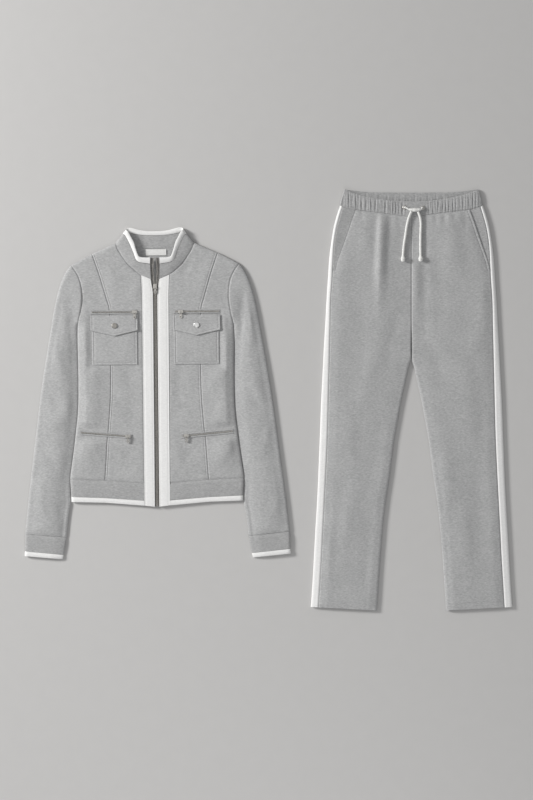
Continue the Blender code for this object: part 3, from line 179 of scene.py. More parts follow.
def creases(x, y, table):
    # each crease: a bell across its bowed line, steeper on one side, uneven along its length
    rise = np.zeros(np.shape(x))
    for k, c in enumerate(table):
        ax, ay = c["start"]
        bx, by = c["end"]
        run = np.array([bx - ax, by - ay], float)
        length = np.linalg.norm(run)
        t = ((x - ax) * run[0] + (y - ay) * run[1]) / length ** 2
        off = ((x - ax) * -run[1] + (y - ay) * run[0]) / length
        off = off - c.get("bow", 0.0) * 4 * t * (1 - t)
        width = np.where(off > 0, c["width"], c["width"] * c.get("steep", 1.0))
        inside = np.clip(t, 0, 1)
        fade = np.sin(np.pi * np.clip(inside * (1 - c.get("open", 0.0) / 2) + c.get("open", 0.0) / 2, 0, 1)) ** 1.3
        fade = fade * (t > -0.001) * (t < 1.001)
        uneven = 1 + 0.22 * np.sin(6.1 * inside + k * 1.7) + 0.12 * np.sin(14.3 * inside + k)
        rise += c["depth"] * (1.45 if c["depth"] > 0 else 1.15) * uneven * np.exp(-(off / width) ** 2) * fade
    return rise


def wander(x, y, size, seed):
    # slow uneven swell: five sine waves in fixed directions
    total = np.zeros(np.shape(x))
    for k in range(5):
        angle = seed + k * 2.399
        total += np.sin((x * math.cos(angle) + y * math.sin(angle)) * 2 * math.pi / (size * (0.6 + 0.27 * k)) + seed * 3 + k)
    return total / 5


def layCloth(plan, up, edges, height, wall=None, tip=None, relief=0.0, split=True, groovesIn=0.0):
    # two layers rounded at the edges as half an ellipse: z = half +- half * sqrt(1 - (1 - d / roll) ^ 2)
    wall = wall or cloth["wall"]
    shape = plan.shape[:2]
    distance, way = fromEdges(plan.reshape(-1, 2), edges)
    distance, way = distance.reshape(shape), way.reshape(*shape, 2)
    tip = np.zeros(shape, bool) if tip is None else tip
    up = np.broadcast_to(np.asarray(up, float), shape)
    distance = np.where(tip, 0, distance)
    edgeShare = np.clip(1 - distance / cloth["roll"], 0, 1)
    root = np.sqrt(1 - edgeShare ** 2)
    calm = np.clip(distance / (2.2 * cloth["roll"]), 0, 1) ** 1.5
    half = height / 2
    parting = np.where(tip & split, up * cloth["seam"] / 2, 0)
    lift = np.asarray(relief) * calm + np.asarray(groovesIn) * np.where(tip, 0, 1)
    outer = np.dstack([plan, half + up * half * root + parting + lift])
    inner = np.dstack([plan + way * (wall * edgeShare)[..., None], half + up * (half - wall) * root + parting + lift])
    return outer, inner


def holdSeam(outer, inner, column, rows=slice(None)):
    # the inner wall's border stays over its own seam line, so that two pieces never cross
    line = outer[:, column, :2]
    run = np.gradient(line, axis=0)
    run = (run / np.linalg.norm(run, axis=1)[:, None])[rows]
    shift = inner[rows, column, :2] - line[rows]
    inner[rows, column, :2] = line[rows] + (shift * run).sum(1)[:, None] * run


def toSet(points, garment, flip=1):
    # a garment's millimetres turned and moved into the set's frame, in metres
    turn = math.radians(garment["turn"])
    x, y, z = flip * points[:, 0], points[:, 1], points[:, 2]
    return mm * np.column_stack([garment["x"] + x * math.cos(turn) - y * math.sin(turn),
                                 garment["y"] + x * math.sin(turn) + y * math.cos(turn), z])


def finishPiece(name, points, faces, look, nodes=(), body="garments", sharp=50, uv=None):
    # one closed piece with its faces turned outwards, riding on its body
    mesh = bpy.data.meshes.new(name)
    mesh.from_pydata(points.tolist(), [], faces)
    work = bmesh.new()
    work.from_mesh(mesh)
    bmesh.ops.recalc_face_normals(work, faces=work.faces)
    if work.calc_volume(signed=True) < 0:
        bmesh.ops.reverse_faces(work, faces=work.faces)
    work.to_mesh(mesh)
    work.free()
    mesh.materials.append(look)
    mesh.shade_smooth()
    mesh.set_sharp_from_angle(angle=math.radians(sharp))
    if uv is not None:
        layer = mesh.uv_layers.new(name="UVMap")
        loops = np.empty(len(mesh.loops), dtype=np.int64)
        mesh.loops.foreach_get("vertex_index", loops)
        layer.uv.foreach_set("vector", uv[loops].astype(np.float32).ravel())
    piece = bpy.data.objects.new(name, mesh)
    scene.collection.objects.link(piece)
    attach(piece, body)
    for node in nodes:
        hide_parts(node)
    return piece


def surfaceSize(grid):
    # mean lengths along and across a grid, and its area, in metres
    across = np.linalg.norm(np.diff(grid, axis=1), axis=2).sum(1)
    along = np.linalg.norm(np.diff(grid, axis=0), axis=2).sum(0)
    a = grid[1:, 1:] - grid[:-1, :-1]
    b = grid[1:, :-1] - grid[:-1, 1:]
    area = np.linalg.norm(np.cross(a, b), axis=2).sum() / 2
    return across.max() * mm, along.max() * mm, area * mm * mm


def clothShell(name, nodes, grids, look, garment, flip=1, loop=False, held="laid", ease=1.0, rests=()):
    # a wall of cloth from outer and inner grids, with a rim round its free borders
    outerAll, innerAll, quads, start = [], [], [], 0
    width = length = area = 0.0
    for outer, inner in grids:
        rows, cols = outer.shape[:2]
        index = start + np.arange(rows * cols).reshape(rows, cols)
        if loop:
            index = np.hstack([index, index[:, :1]])
        quads.append(np.stack([index[:-1, :-1], index[1:, :-1], index[1:, 1:], index[:-1, 1:]], -1).reshape(-1, 4))
        outerAll.append(outer.reshape(-1, 3))
        innerAll.append(inner.reshape(-1, 3))
        start += rows * cols
        wide, tall, piece = surfaceSize(np.hstack([outer, outer[:, :1]]) if loop else outer)
        width, length, area = max(width, wide), max(length, tall), area + piece
    outer, inner, quads = np.vstack(outerAll), np.vstack(innerAll), np.vstack(quads)
    edges = np.vstack([quads[:, [k, (k + 1) % 4]] for k in range(4)])
    keys, first, uses = np.unique(np.sort(edges, 1), axis=0, return_index=True, return_counts=True)
    border = edges[first[uses == 1]]
    count = len(outer)
    rim = np.column_stack([border[:, 1], border[:, 0], border[:, 0] + count, border[:, 1] + count])
    faces = np.vstack([quads, quads[:, ::-1] + count, rim]).tolist()
    piece = finishPiece(name, toSet(np.vstack([outer, inner]), garment, flip), faces, look, nodes)
    width, length = max(width * ease, 0.0101), max(length, 0.0101)
    area = min(max(area * ease, 0.31 * width * length), width * length)
    sheets.append((piece, width, length, area, held, rests))
    return piece


sheets = []

# finishes
# Knit: heather is two greys mixed by stretched noise; the surface is V loops, p wide and q tall:
# height = sine of (y / q + 1.2 * distance from the loop's middle), times the loop's round top.
knits = {
    "heather": {"dark": (0.362, 0.365, 0.368), "pale": (0.530, 0.533, 0.534), "streak": -30.0, "rough": 0.96, "sheen": 0.04, "gloss": 0.12, "bump": 0.55, "loop": (0.00125, 0.0016)},
    "heatherDeep": {"dark": (0.340, 0.342, 0.345), "pale": (0.497, 0.499, 0.500), "streak": -28.0, "rough": 0.96, "sheen": 0.04, "gloss": 0.12, "bump": 0.7, "loop": (0.0011, 0.0022)},
    "whiteKnit": {"dark": (0.80, 0.80, 0.795), "pale": (0.885, 0.885, 0.88), "streak": 90.0, "rough": 0.9, "sheen": 0.05, "gloss": 0.2, "bump": 0.5, "loop": (0.0016, 0.0018)},
    "zipTape": {"dark": (0.18, 0.175, 0.17), "pale": (0.30, 0.29, 0.28), "streak": 0.0, "rough": 0.85, "sheen": 0.05, "gloss": 0.25, "bump": 0.7, "loop": (0.0009, 0.0009)},
    "labelRibbon": {"dark": (0.74, 0.74, 0.725), "pale": (0.83, 0.83, 0.82), "streak": 0.0, "rough": 0.55, "sheen": 0.05, "gloss": 0.35, "bump": 0.35, "loop": (0.0006, 0.0006)},
    "cordBraid": {"dark": (0.78, 0.78, 0.76), "pale": (0.88, 0.88, 0.865), "streak": 45.0, "rough": 0.85, "sheen": 0.05, "gloss": 0.2, "bump": 0.8, "loop": (0.0015, 0.0013)},
}
metals = {
    "nickel": {"dark": (0.46, 0.445, 0.42), "pale": (0.80, 0.78, 0.74), "rough": 0.34},
    # The next two are one button nickel made twice: the paler copy is a painted highlight for the right button, the
    # darker copy is painted shade for the left button.
    "brightNickel": {"dark": (0.78, 0.78, 0.77), "pale": (0.95, 0.95, 0.94), "rough": 0.30},
    "dullNickel": {"dark": (0.38, 0.37, 0.34), "pale": (0.50, 0.48, 0.45), "rough": 0.42},
    "teethMetal": {"dark": (0.40, 0.385, 0.36), "pale": (0.78, 0.75, 0.70), "rough": 0.38},
}


def newLook(name, rough):
    look = bpy.data.materials.new(name)
    look.use_nodes = True
    tree = look.node_tree
    shader = tree.nodes["Principled BSDF"]
    shader.inputs["Roughness"].default_value = rough
    place = tree.nodes.new("ShaderNodeTexCoord")
    return look, tree, shader, place


def addMath(tree, operation, one, two=None):
    node = tree.nodes.new("ShaderNodeMath")
    node.operation = operation
    for socket, value in zip(node.inputs, (one, two)):
        if value is None:
            continue
        if isinstance(value, (int, float)):
            socket.default_value = value
        else:
            tree.links.new(value, socket)
    return node.outputs[0]


def addNoise(tree, source, turn, stretch, scale, detail):
    # noise on coordinates turned about z and stretched along their new x
    mapping = tree.nodes.new("ShaderNodeMapping")
    mapping.inputs["Rotation"].default_value = (0.0, 0.0, math.radians(-turn))
    mapping.inputs["Scale"].default_value = (scale / stretch, scale, scale)
    tree.links.new(source, mapping.inputs["Vector"])
    noise = tree.nodes.new("ShaderNodeTexNoise")
    noise.inputs["Scale"].default_value = 1.0
    noise.inputs["Detail"].default_value = detail
    tree.links.new(mapping.outputs["Vector"], noise.inputs["Vector"])
    return noise.outputs["Fac"]


def mixColours(tree, share, dark, pale, low=0.3, high=0.7):
    ramp = tree.nodes.new("ShaderNodeValToRGB")
    ramp.color_ramp.elements[0].position = low
    ramp.color_ramp.elements[0].color = (*dark, 1.0)
    ramp.color_ramp.elements[1].position = high
    ramp.color_ramp.elements[1].color = (*pale, 1.0)
    tree.links.new(share, ramp.inputs["Fac"])
    return ramp.outputs["Color"]


def addBump(tree, shader, height, strength, distance):
    bump = tree.nodes.new("ShaderNodeBump")
    bump.inputs["Strength"].default_value = strength
    bump.inputs["Distance"].default_value = distance
    tree.links.new(height, bump.inputs["Height"])
    tree.links.new(bump.outputs["Normal"], shader.inputs["Normal"])


def knitLook(name, values, onStrip=False):
    look, tree, shader, place = newLook(name, values["rough"])
    shader.inputs["Sheen Weight"].default_value = values["sheen"]
    shader.inputs["Specular IOR Level"].default_value = values["gloss"]
    shader.inputs["Sheen Roughness"].default_value = 0.5
    source = place.outputs["UV" if onStrip else "Object"]
    streaks = addNoise(tree, source, values["streak"], 3.2, 620.0, 3.0)
    blots = addNoise(tree, source, values["streak"] + 8, 2.4, 330.0, 2.0)
    slow = addNoise(tree, source, 0.0, 1.0, 22.0, 2.0)
    share = addMath(tree, "ADD", addMath(tree, "MULTIPLY", streaks, 0.50), addMath(tree, "MULTIPLY", blots, 0.36))
    share = addMath(tree, "ADD", share, addMath(tree, "MULTIPLY", slow, 0.12))
    tree.links.new(mixColours(tree, share, values["dark"], values["pale"], 0.36, 0.64), shader.inputs["Base Color"])
    wide, tall = values["loop"]
    split = tree.nodes.new("ShaderNodeSeparateXYZ")
    tree.links.new(source, split.inputs["Vector"])
    column = addMath(tree, "FRACT", addMath(tree, "DIVIDE", split.outputs["X"], wide))
    off = addMath(tree, "ABSOLUTE", addMath(tree, "SUBTRACT", column, 0.5))
    row = addMath(tree, "ADD", addMath(tree, "DIVIDE", split.outputs["Y"], tall), addMath(tree, "MULTIPLY", off, 1.2))
    wave = addMath(tree, "SINE", addMath(tree, "MULTIPLY", row, 2 * math.pi))
    top = addMath(tree, "SUBTRACT", 1.0, addMath(tree, "MULTIPLY", addMath(tree, "MULTIPLY", off, off), 3.0))
    height = addMath(tree, "ADD", addMath(tree, "MULTIPLY", addMath(tree, "ADD", wave, 2.0), addMath(tree, "MULTIPLY", top, 0.25)), addMath(tree, "MULTIPLY", blots, 0.9))
    addBump(tree, shader, height, values["bump"], 0.00045)
    return look


def metalLook(name, values):
    look, tree, shader, place = newLook(name, values["rough"])
    shader.inputs["Metallic"].default_value = 1.0
    grain = addNoise(tree, place.outputs["Object"], 0.0, 1.0, 420.0, 4.0)
    tree.links.new(mixColours(tree, grain, values["dark"], values["pale"]), shader.inputs["Base Color"])
    addBump(tree, shader, grain, 0.12, 0.0002)
    return look


def floorLook():
    look, tree, shader, place = newLook("floorPaper", 0.9)
    grain = addNoise(tree, place.outputs["Object"], 0.0, 1.0, 30.0, 3.0)
    low = tuple(v * 0.985 for v in studio["floor"])
    tree.links.new(mixColours(tree, grain, low, studio["floor"]), shader.inputs["Base Color"])
    addBump(tree, shader, grain, 0.03, 0.0005)
    return look


looks = {name: knitLook(name, values) for name, values in knits.items() if name != "cordBraid"}
looks["cordBraid"] = knitLook("cordBraid", knits["cordBraid"], onStrip=True)
looks.update({name: metalLook(name, values) for name, values in metals.items()})
print("finishes made")

floorMesh = bpy.data.meshes.new("floor")
floorMesh.from_pydata([(-9, -9, -0.0008), (9, -9, -0.0008), (9, 9, -0.0008), (-9, 9, -0.0008)], [], [(0, 1, 2, 3)])
floorMesh.materials.append(floorLook())
floor = bpy.data.objects.new("floor", floorMesh)
scene.collection.objects.link(floor)

# jacket: lines
shoulderLine = [
    (96.2, 580.0), (118.8, 570.0), (151.9, 555.6), (180.1, 542.7), (205.7, 527.5),
]
sleeveOuter = [
    (205.7, 527.5), (214.5, 516.5), (221.7, 504.7), (230.7, 483.9), (240.1, 453.2), (248.7, 414.0),
    (257.2, 366.3), (267.0, 308.7), (276.8, 249.9), (285.4, 191.1), (294.0, 122.5), (302.6, 53.9),
    (311.5, -14.7), (319.1, -83.3), (323.8, -128.4), (325.0, -170.9), (325.5, -182.5), (325.6, -196.0),
]
sideLine = [
    (209.5, -56.0), (210.1, -38.6), (212.5, 3.7), (206.6, 49.0), (201.5, 86.0), (197.1, 122.5), (192.9, 159.0),
    (190.7, 196.0), (190.1, 245.0), (190.6, 294.0), (191.3, 343.0), (190.9, 379.0),
]
armholeLine = [
    (190.9, 379.0), (186.5, 398.0), (183.4, 414.1), (179.8, 438.6), (179.8, 463.1), (183.7, 487.6),
    (192.3, 508.4), (205.7, 527.5),
]
sleeveInnerEnd = [
    (210.9, -56.0), (214.7, -73.5), (218.7, -102.9), (222.6, -138.2), (229.9, -180.2), (234.5, -200.0),
]
princessLine = [
    (126.8, 0.3), (125.0, 27.0), (122.7, 61.0), (120.3, 98.0), (117.0, 126.0), (114.3, 160.0), (111.6, 198.0),
    (110.2, 245.0), (109.7, 282.0), (109.9, 340.0), (110.6, 390.0), (112.6, 421.4), (118.8, 443.4),
    (126.5, 470.4), (136.0, 502.2), (145.2, 529.8), (153.8, 554.8),
]
placketOuter = [
    (31.2, -62.0), (31.5, 73.5), (31.8, 196.0), (32.2, 392.0), (32.8, 465.5), (34.3, 501.5),
]
placketInner = [
    (5.5, -65.0), (5.4, 196.0), (5.5, 441.0), (6.7, 465.5), (10.7, 491.9),
]
neckLine = [
    (34.3, 501.5), (52.7, 515.7), (69.2, 531.7), (82.1, 548.8), (90.4, 564.8), (96.2, 580.0),
]
jacketRows = [
    {"side": 3.7, "princess": 0.3, "front": -7.1}, {"side": 49.0, "princess": 47.0, "front": 45.0},
    {"side": 98.0, "princess": 98.0, "front": 98.0}, {"side": 145.0, "princess": 145.0, "front": 145.0},
    {"side": 196.0, "princess": 196.0, "front": 196.0}, {"side": 262.0, "princess": 262.0, "front": 262.0},
    {"side": 330.0, "princess": 330.0, "front": 330.0}, {"side": 366.0, "princess": 370.0, "front": 380.0},
    {"side": 379.0, "princess": 395.0, "front": 408.0}, {"side": 392.0, "princess": 409.0, "front": 430.0},
    {"side": 414.1, "princess": 426.0, "front": 462.0}, {"side": 438.6, "princess": 446.0, "front": 482.0},
    {"side": 463.1, "princess": 468.0, "front": 501.5}, {"side": 484.0, "princess": 492.0, "front": 514.0},
    {"side": 500.0, "princess": 514.0, "front": 532.0},
]
sleeveSlant = [
    {"inner": -200.0, "outer": -190.0}, {"inner": -138.2, "outer": -128.4}, {"inner": 98.0, "outer": 110.0},
    {"inner": 392.0, "outer": 402.0}, {"inner": 438.6, "outer": 452.0}, {"inner": 463.1, "outer": 474.0},
    {"inner": 484.0, "outer": 491.0}, {"inner": 500.0, "outer": 503.0}, {"inner": 527.5, "outer": 525.0},
]
backNeck, armpitRow, neckRow = 566.0, 8, 12
shoulderRows = np.concatenate([[20.0, 16.5, 13.5, 11.0], rollSteps[::-1]])
sleeveBelow = [-138.0, -110.0, -83.0, -56.0]
# Soft creases of the jacket's upper side, in sizes of their own
jacketCreases = [
    {"start": (-197, 505), "end": (-176, 380), "width": 11, "depth": -1.3, "bow": -6},
    {"start": (-172, 470), "end": (-120, 428), "width": 13, "depth": -0.8, "bow": 5},
    {"start": (-186, 330), "end": (-165, 190), "width": 12, "depth": -1.1, "bow": 8, "steep": 0.6},
    {"start": (-186, 150), "end": (-128, 78), "width": 11, "depth": 1.2, "bow": -7, "steep": 1.6},
    {"start": (-196, 120), "end": (-140, 30), "width": 9, "depth": -0.9, "bow": 6},
    {"start": (-62, 350), "end": (-54, 90), "width": 17, "depth": -1.0, "bow": -5},
    {"start": (-100, 262), "end": (-60, 165), "width": 15, "depth": 0.9, "bow": 9, "steep": 1.5},
    {"start": (-88, 96), "end": (-44, 40), "width": 12, "depth": -0.8, "bow": -4},
    {"start": (-40, 490), "end": (-66, 430), "width": 12, "depth": 0.8, "bow": 5},
    {"start": (-130, 540), "end": (-96, 452), "width": 14, "depth": 0.8, "bow": 7},
    {"start": (60, 500), "end": (96, 530), "width": 10, "depth": -1.3, "bow": 4},
    {"start": (150, 540), "end": (108, 440), "width": 15, "depth": 0.9, "bow": -8},
    {"start": (182, 500), "end": (170, 400), "width": 11, "depth": -1.2, "bow": -7, "steep": 1.6},
    {"start": (170, 432), "end": (172, 330), "width": 9, "depth": -1.5, "bow": 5, "steep": 0.6},
    {"start": (56, 350), "end": (50, 140), "width": 15, "depth": -0.9, "bow": 6},
    {"start": (150, 270), "end": (96, 170), "width": 14, "depth": 0.9, "bow": 8, "steep": 1.5},
    {"start": (178, 210), "end": (128, 142), "width": 11, "depth": -0.9, "bow": -6},
    {"start": (190, 110), "end": (130, 28), "width": 12, "depth": 1.0, "bow": 9, "steep": 1.7},
    {"start": (104, 98), "end": (52, 34), "width": 11, "depth": -0.8, "bow": 5},
    {"start": (46, 120), "end": (60, 40), "width": 9, "depth": 0.7, "bow": -3},
]
backCreases = [
    {"start": (-150, 500), "end": (-40, 380), "width": 18, "depth": 1.1, "bow": 12},
    {"start": (148, 490), "end": (60, 350), "width": 16, "depth": 1.2, "bow": -10},
    {"start": (-20, 420), "end": (14, 120), "width": 20, "depth": 1.0, "bow": 9},
    {"start": (-170, 230), "end": (-60, 130), "width": 14, "depth": 1.2, "bow": -9},
    {"start": (165, 190), "end": (40, 150), "width": 15, "depth": 1.0, "bow": 10},
    {"start": (-140, 90), "end": (-30, 50), "width": 12, "depth": 0.9, "bow": 6},
    {"start": (120, 80), "end": (36, 36), "width": 13, "depth": 0.8, "bow": -6},
]
sleeveCreases = {
    "Left": [
        {"start": (214, 470), "end": (206, 330), "width": 12, "depth": -1.6, "bow": -4, "steep": 1.5},
        {"start": (246, 380), "end": (222, 240), "width": 16, "depth": 1.4, "bow": 8, "steep": 0.7},
        {"start": (262, 240), "end": (216, 150), "width": 13, "depth": -1.3, "bow": 7},
        {"start": (210, 215), "end": (262, 120), "width": 12, "depth": 1.2, "bow": -8, "steep": 1.5},
        {"start": (284, 110), "end": (232, 20), "width": 14, "depth": -1.1, "bow": 8},
        {"start": (300, 20), "end": (262, -110), "width": 16, "depth": 1.3, "bow": 6, "steep": 0.6},
        {"start": (236, -10), "end": (240, -120), "width": 11, "depth": -1.2, "bow": -3},
    ],
    "Right": [
        {"start": (215, 476), "end": (199, 300), "width": 10, "depth": -2.4, "bow": 3, "steep": 1.4},
        {"start": (226, 462), "end": (232, 310), "width": 13, "depth": 1.8, "bow": 6, "steep": 0.7},
        {"start": (244, 300), "end": (262, 170), "width": 15, "depth": 1.2, "bow": -8},
        {"start": (214, 240), "end": (258, 150), "width": 12, "depth": -1.2, "bow": 7, "steep": 1.5},
        {"start": (280, 150), "end": (240, 40), "width": 13, "depth": 1.2, "bow": 8},
        {"start": (226, 60), "end": (272, -30), "width": 12, "depth": -1.1, "bow": -6},
        {"start": (306, 10), "end": (276, -110), "width": 14, "depth": 1.1, "bow": 5},
    ],
}
jacketForm = {"sideSwell": 5.0, "sideAt": 166.0, "sideWide": 34.0, "sleeveCrown": 3.4, "sleeveSink": 3.0, "sinkReach": 17.0, "sinkFade": 46.0}
hardSpots = [(0, 470, 16), (-51, 400, 20), (62, 400, 20), (-69, 101, 20), (73, 101, 20)]    # x, y, radius held flat
chest = {"inner": 44.6, "outer": 157.5, "low": 282.4, "high": 416.4}


def calmSpots(x, y):
    # 0 over the sliders, pulls, plackets and chest pockets, rising softly to 1 beside them
    calm = np.clip((np.abs(x) - 31.0) / 16.0, 0, 1)
    for a, b, radius in hardSpots:
        calm = calm * np.clip((np.hypot(x - a, y - b) - radius) / 18.0, 0, 1)
    out = np.maximum(np.maximum(chest["inner"] - np.abs(x), np.abs(x) - chest["outer"]),
                     np.maximum(chest["low"] - y, y - chest["high"]))
    calm = calm * np.clip(out / 16.0, 0.0, 1)
    along = 107.0 + (np.abs(x) - 60.0) * 11.0 / 127.0
    onZip = np.clip((np.abs(y - along) - 12.0) / 14.0, 0, 1)
    zipSpan = (np.abs(x) > 52) * (np.abs(x) < 194)
    return calm * np.where(zipSpan, onZip, 1)


def jacketRelief(x, y):
    swell = jacketForm["sideSwell"] * np.exp(-((np.abs(x) - jacketForm["sideAt"]) / jacketForm["sideWide"]) ** 2)
    swell = swell * np.clip((440 - y) / 90, 0, 1) * np.clip((y + 2) / 70, 0.04, 1) ** 1.4
    return (creases(x, y, jacketCreases) + swell + 0.35 * wander(x, y, 90, 1.3)) * calmSpots(x, y)


def sleeveHeight(plan, sleeveEdge):
    # the sleeve sinks beside the body by a bell of the distance from it
    away = fromEdges(plan.reshape(-1, 2), [(sleeveEdge, 1)])[0].reshape(plan.shape[:2])
    below = np.clip((sideLine[-1][1] - plan[..., 1]) / jacketForm["sinkFade"], 0, 1)
    return jacket["lay"] - jacketForm["sleeveSink"] * np.exp(-(away / jacketForm["sinkReach"]) ** 2) * below


def sleeveRelief(x, y, away, word):
    crown = jacketForm["sleeveCrown"] * (1 - np.exp(-(away / 26.0) ** 2))
    return crown * np.clip((500 - y) / 110, 0, 1) + creases(x, y, sleeveCreases[word]) + 0.4 * wander(x, y, 70, 2.1 + len(word))


def jacketLines(marks, shoulderSteps):
    shoulder, side = softCurve(shoulderLine), np.vstack([softCurve(sideLine), softCurve(armholeLine)[1:]])
    princess = softCurve(princessLine)
    front = np.vstack([softCurve(placketOuter), softCurve(neckLine)[1:]])
    back = np.column_stack([np.linspace(126.8, 96.2, 60), np.linspace(0.3, 580.0, 60)])
    keys = {"side": (side, "side"), "princess": (princess, "princess"), "front": (front, "front"), "back": (back, "princess")}
    rows = {}
    for name, (curve, key) in keys.items():
        main = atHeight(curve, rowValues(jacketRows, key, marks))
        away = fromEdges(curve, [(shoulder, 1)])[0]
        upper = curve[:, 1] > 480
        order = np.argsort(-away[upper])
        near, ordered = away[upper][order], curve[upper][order]
        extra = [[np.interp(-step, -near, ordered[:, k]) for k in (0, 1)] for step in shoulderSteps[:-1]]
        rows[name] = np.vstack([main, extra, curve[-1:]])
    rows["shoulder"] = shoulder
    return rows


heightsFront = [row["front"] for row in jacketRows]
bodyMarks = refine(heightsFront, cloth["spacing"], ends=(0.02, 0.05, 0.1))
armpitAt = int(np.searchsorted(bodyMarks, armpitRow))
lines = jacketLines(bodyMarks, shoulderRows)
outside = np.vstack([lines["shoulder"], softCurve(sleeveOuter)[1:]])
sideEdge = softCurve(sideLine)
sleeveEdge = np.vstack([sideEdge[::-1] + (cloth["slit"], 0), softCurve(sleeveInnerEnd)[1:]])
bodyEdges = [(outside, -1), (sideEdge, 1)]
armEdges = [(outside, -1), (sleeveEdge, 1)]
seamGap = cloth["seam"]
stitchIn = np.array([0.0, 0.45, 1.0, 1.9, 3.2, 4.3, 5.0, 5.7, 7.2])        # with a row of topstitching 5 mm in


# jacket: panels
def tipsOf(shape, lastRows=0, topRow=False):
    tip = np.zeros(shape, bool)
    tip[:lastRows, -1] = True
    tip[-1] = tip[-1] | topRow
    return tip


armReach = lines["side"].copy()
armReach[armpitAt + 1:] = besideLine(lines["side"], seamGap / 2)[armpitAt + 1:]
for word, flip in halves.items():
    plan, dIn, dOut = panelPlan(besideLine(lines["front"], -seamGap / 2), besideLine(lines["princess"], seamGap / 2), seamSteps, stitchIn)
    dips = groove(dIn, 0, 1.1, 0.8) + groove(dOut, 0, 0.9, 0.9) + groove(dOut, 5.0, 0.6, 0.35) + groove(plan[..., 1] - plan[:1, :, 1], 0, 2.4, 0.9)
    outer, inner = layCloth(plan, 1, bodyEdges, jacket["lay"], tip=tipsOf(plan.shape[:2], 0, True),
                            relief=jacketRelief(flip * plan[..., 0], plan[..., 1]), groovesIn=dips)
    holdSeam(outer, inner, 0)
    holdSeam(outer, inner, -1)
    clothShell(f"frontCentre{word}", [f"front_centre_{word.lower()}"], [(outer, inner)], looks["heather"], jacket, flip, rests=["jacketBack"])

    plan, dIn, dOut = panelPlan(besideLine(lines["princess"], -seamGap / 2), armReach, seamSteps, rollSteps)
    armRows = (np.arange(len(plan)) > armpitAt)[:, None]
    dips = groove(dIn, 0, 0.9, 0.9) + groove(dOut, 0, 1.4, 1.1) * armRows + groove(plan[..., 1] - plan[:1, :, 1], 0, 2.4, 0.9)
    outer, inner = layCloth(plan, 1, bodyEdges, jacket["lay"], tip=tipsOf(plan.shape[:2], armpitAt + 1, True),
                            relief=jacketRelief(flip * plan[..., 0], plan[..., 1]), groovesIn=dips)
    holdSeam(outer, inner, 0)
    holdSeam(outer, inner, -1, slice(armpitAt + 1, None))
    clothShell(f"frontSide{word}", [f"front_side_{word.lower()}"], [(outer, inner)], looks["heather"], jacket, flip, rests=["jacketBack"])

middle = lines["back"]
centreY = np.interp(middle[:, 1], (middle[0, 1], middle[-1, 1]), (-7.1, backNeck))
share = np.linspace(0, 1, 27)[:-1]
near = np.empty((len(middle), len(share), 2))
near[..., 0] = middle[:, :1] * share
near[..., 1] = centreY[:, None] + (middle[:, 1] - centreY)[:, None] * share ** 2
near[0, :, 1] = centreY[0] + (middle[0, 1] - centreY[0]) * share
far, dIn, dOut = panelPlan(middle, armReach, np.array([0.0, 4.0]), rollSteps)
half = np.hstack([near, far])
tip = tipsOf(half.shape[:2], armpitAt + 1)
tip[-1, len(share):] = True
whole = np.hstack([half[:, :0:-1] * (-1, 1), half])
outer, inner = layCloth(half, -1, bodyEdges, jacket["lay"], tip=tip)
holdSeam(outer, inner, -1, slice(armpitAt + 1, None))
outer = np.hstack([outer[:, :0:-1] * (-1, 1, 1), outer])
inner = np.hstack([inner[:, :0:-1] * (-1, 1, 1), inner])
hollow = (creases(whole[..., 0], whole[..., 1], backCreases) + 0.35 + 0.35 * wander(whole[..., 0], whole[..., 1], 80, 4.0))
edgeAway = fromEdges(half.reshape(-1, 2), bodyEdges)[0].reshape(half.shape[:2])
edgeAway = np.hstack([edgeAway[:, :0:-1], edgeAway])
hollow = hollow * np.clip(edgeAway / 30 - 0.2, 0, 1) * np.clip((520 - whole[..., 1]) / 60, 0, 1) * np.clip((whole[..., 1] - whole[:1, :, 1]) / 30, 0, 1)
outer[..., 2] += np.clip(hollow, 0, 1.6)
inner[..., 2] += np.clip(hollow, 0, 1.6)
clothShell("jacketBack", ["jacket_back"], [(outer, inner)], looks["heather"], jacket, rests=["floor"])
print("jacket body made")

armholeSeam = besideLine(lines["side"], -seamGap / 2)[armpitAt + 1:]
slitSide = lines["side"][:armpitAt + 1] + (cloth["slit"], 0)
belowMarks = np.linspace(sleeveBelow[0], sleeveBelow[-1] - 4, 20)
inside = np.vstack([atHeight(sleeveEdge, belowMarks), slitSide, armholeSeam])
outHeights = np.interp(inside[:, 1], [row["inner"] for row in sleeveSlant], [row["outer"] for row in sleeveSlant])
outHeights[-1] = 524.6
outHeights = np.maximum.accumulate(outHeights)
outEdge = atHeight(softCurve(sleeveOuter), outHeights)
plan, dIn, dOut = panelPlan(inside, outEdge, rollSteps, rollSteps)
slitRows = len(belowMarks) + len(slitSide)
tip = np.zeros(plan.shape[:2], bool)
tip[:, -1] = True
tip[:slitRows, 0] = True
tip[-1] = True
armHeight = sleeveHeight(plan, sleeveEdge)
armAway = fromEdges(plan.reshape(-1, 2), armEdges)[0].reshape(plan.shape[:2])
armRows = (np.arange(len(plan)) >= slitRows)[:, None]
seamLine = (~armRows) * np.clip((-10 - plan[..., 1]) / 40, 0, 1)
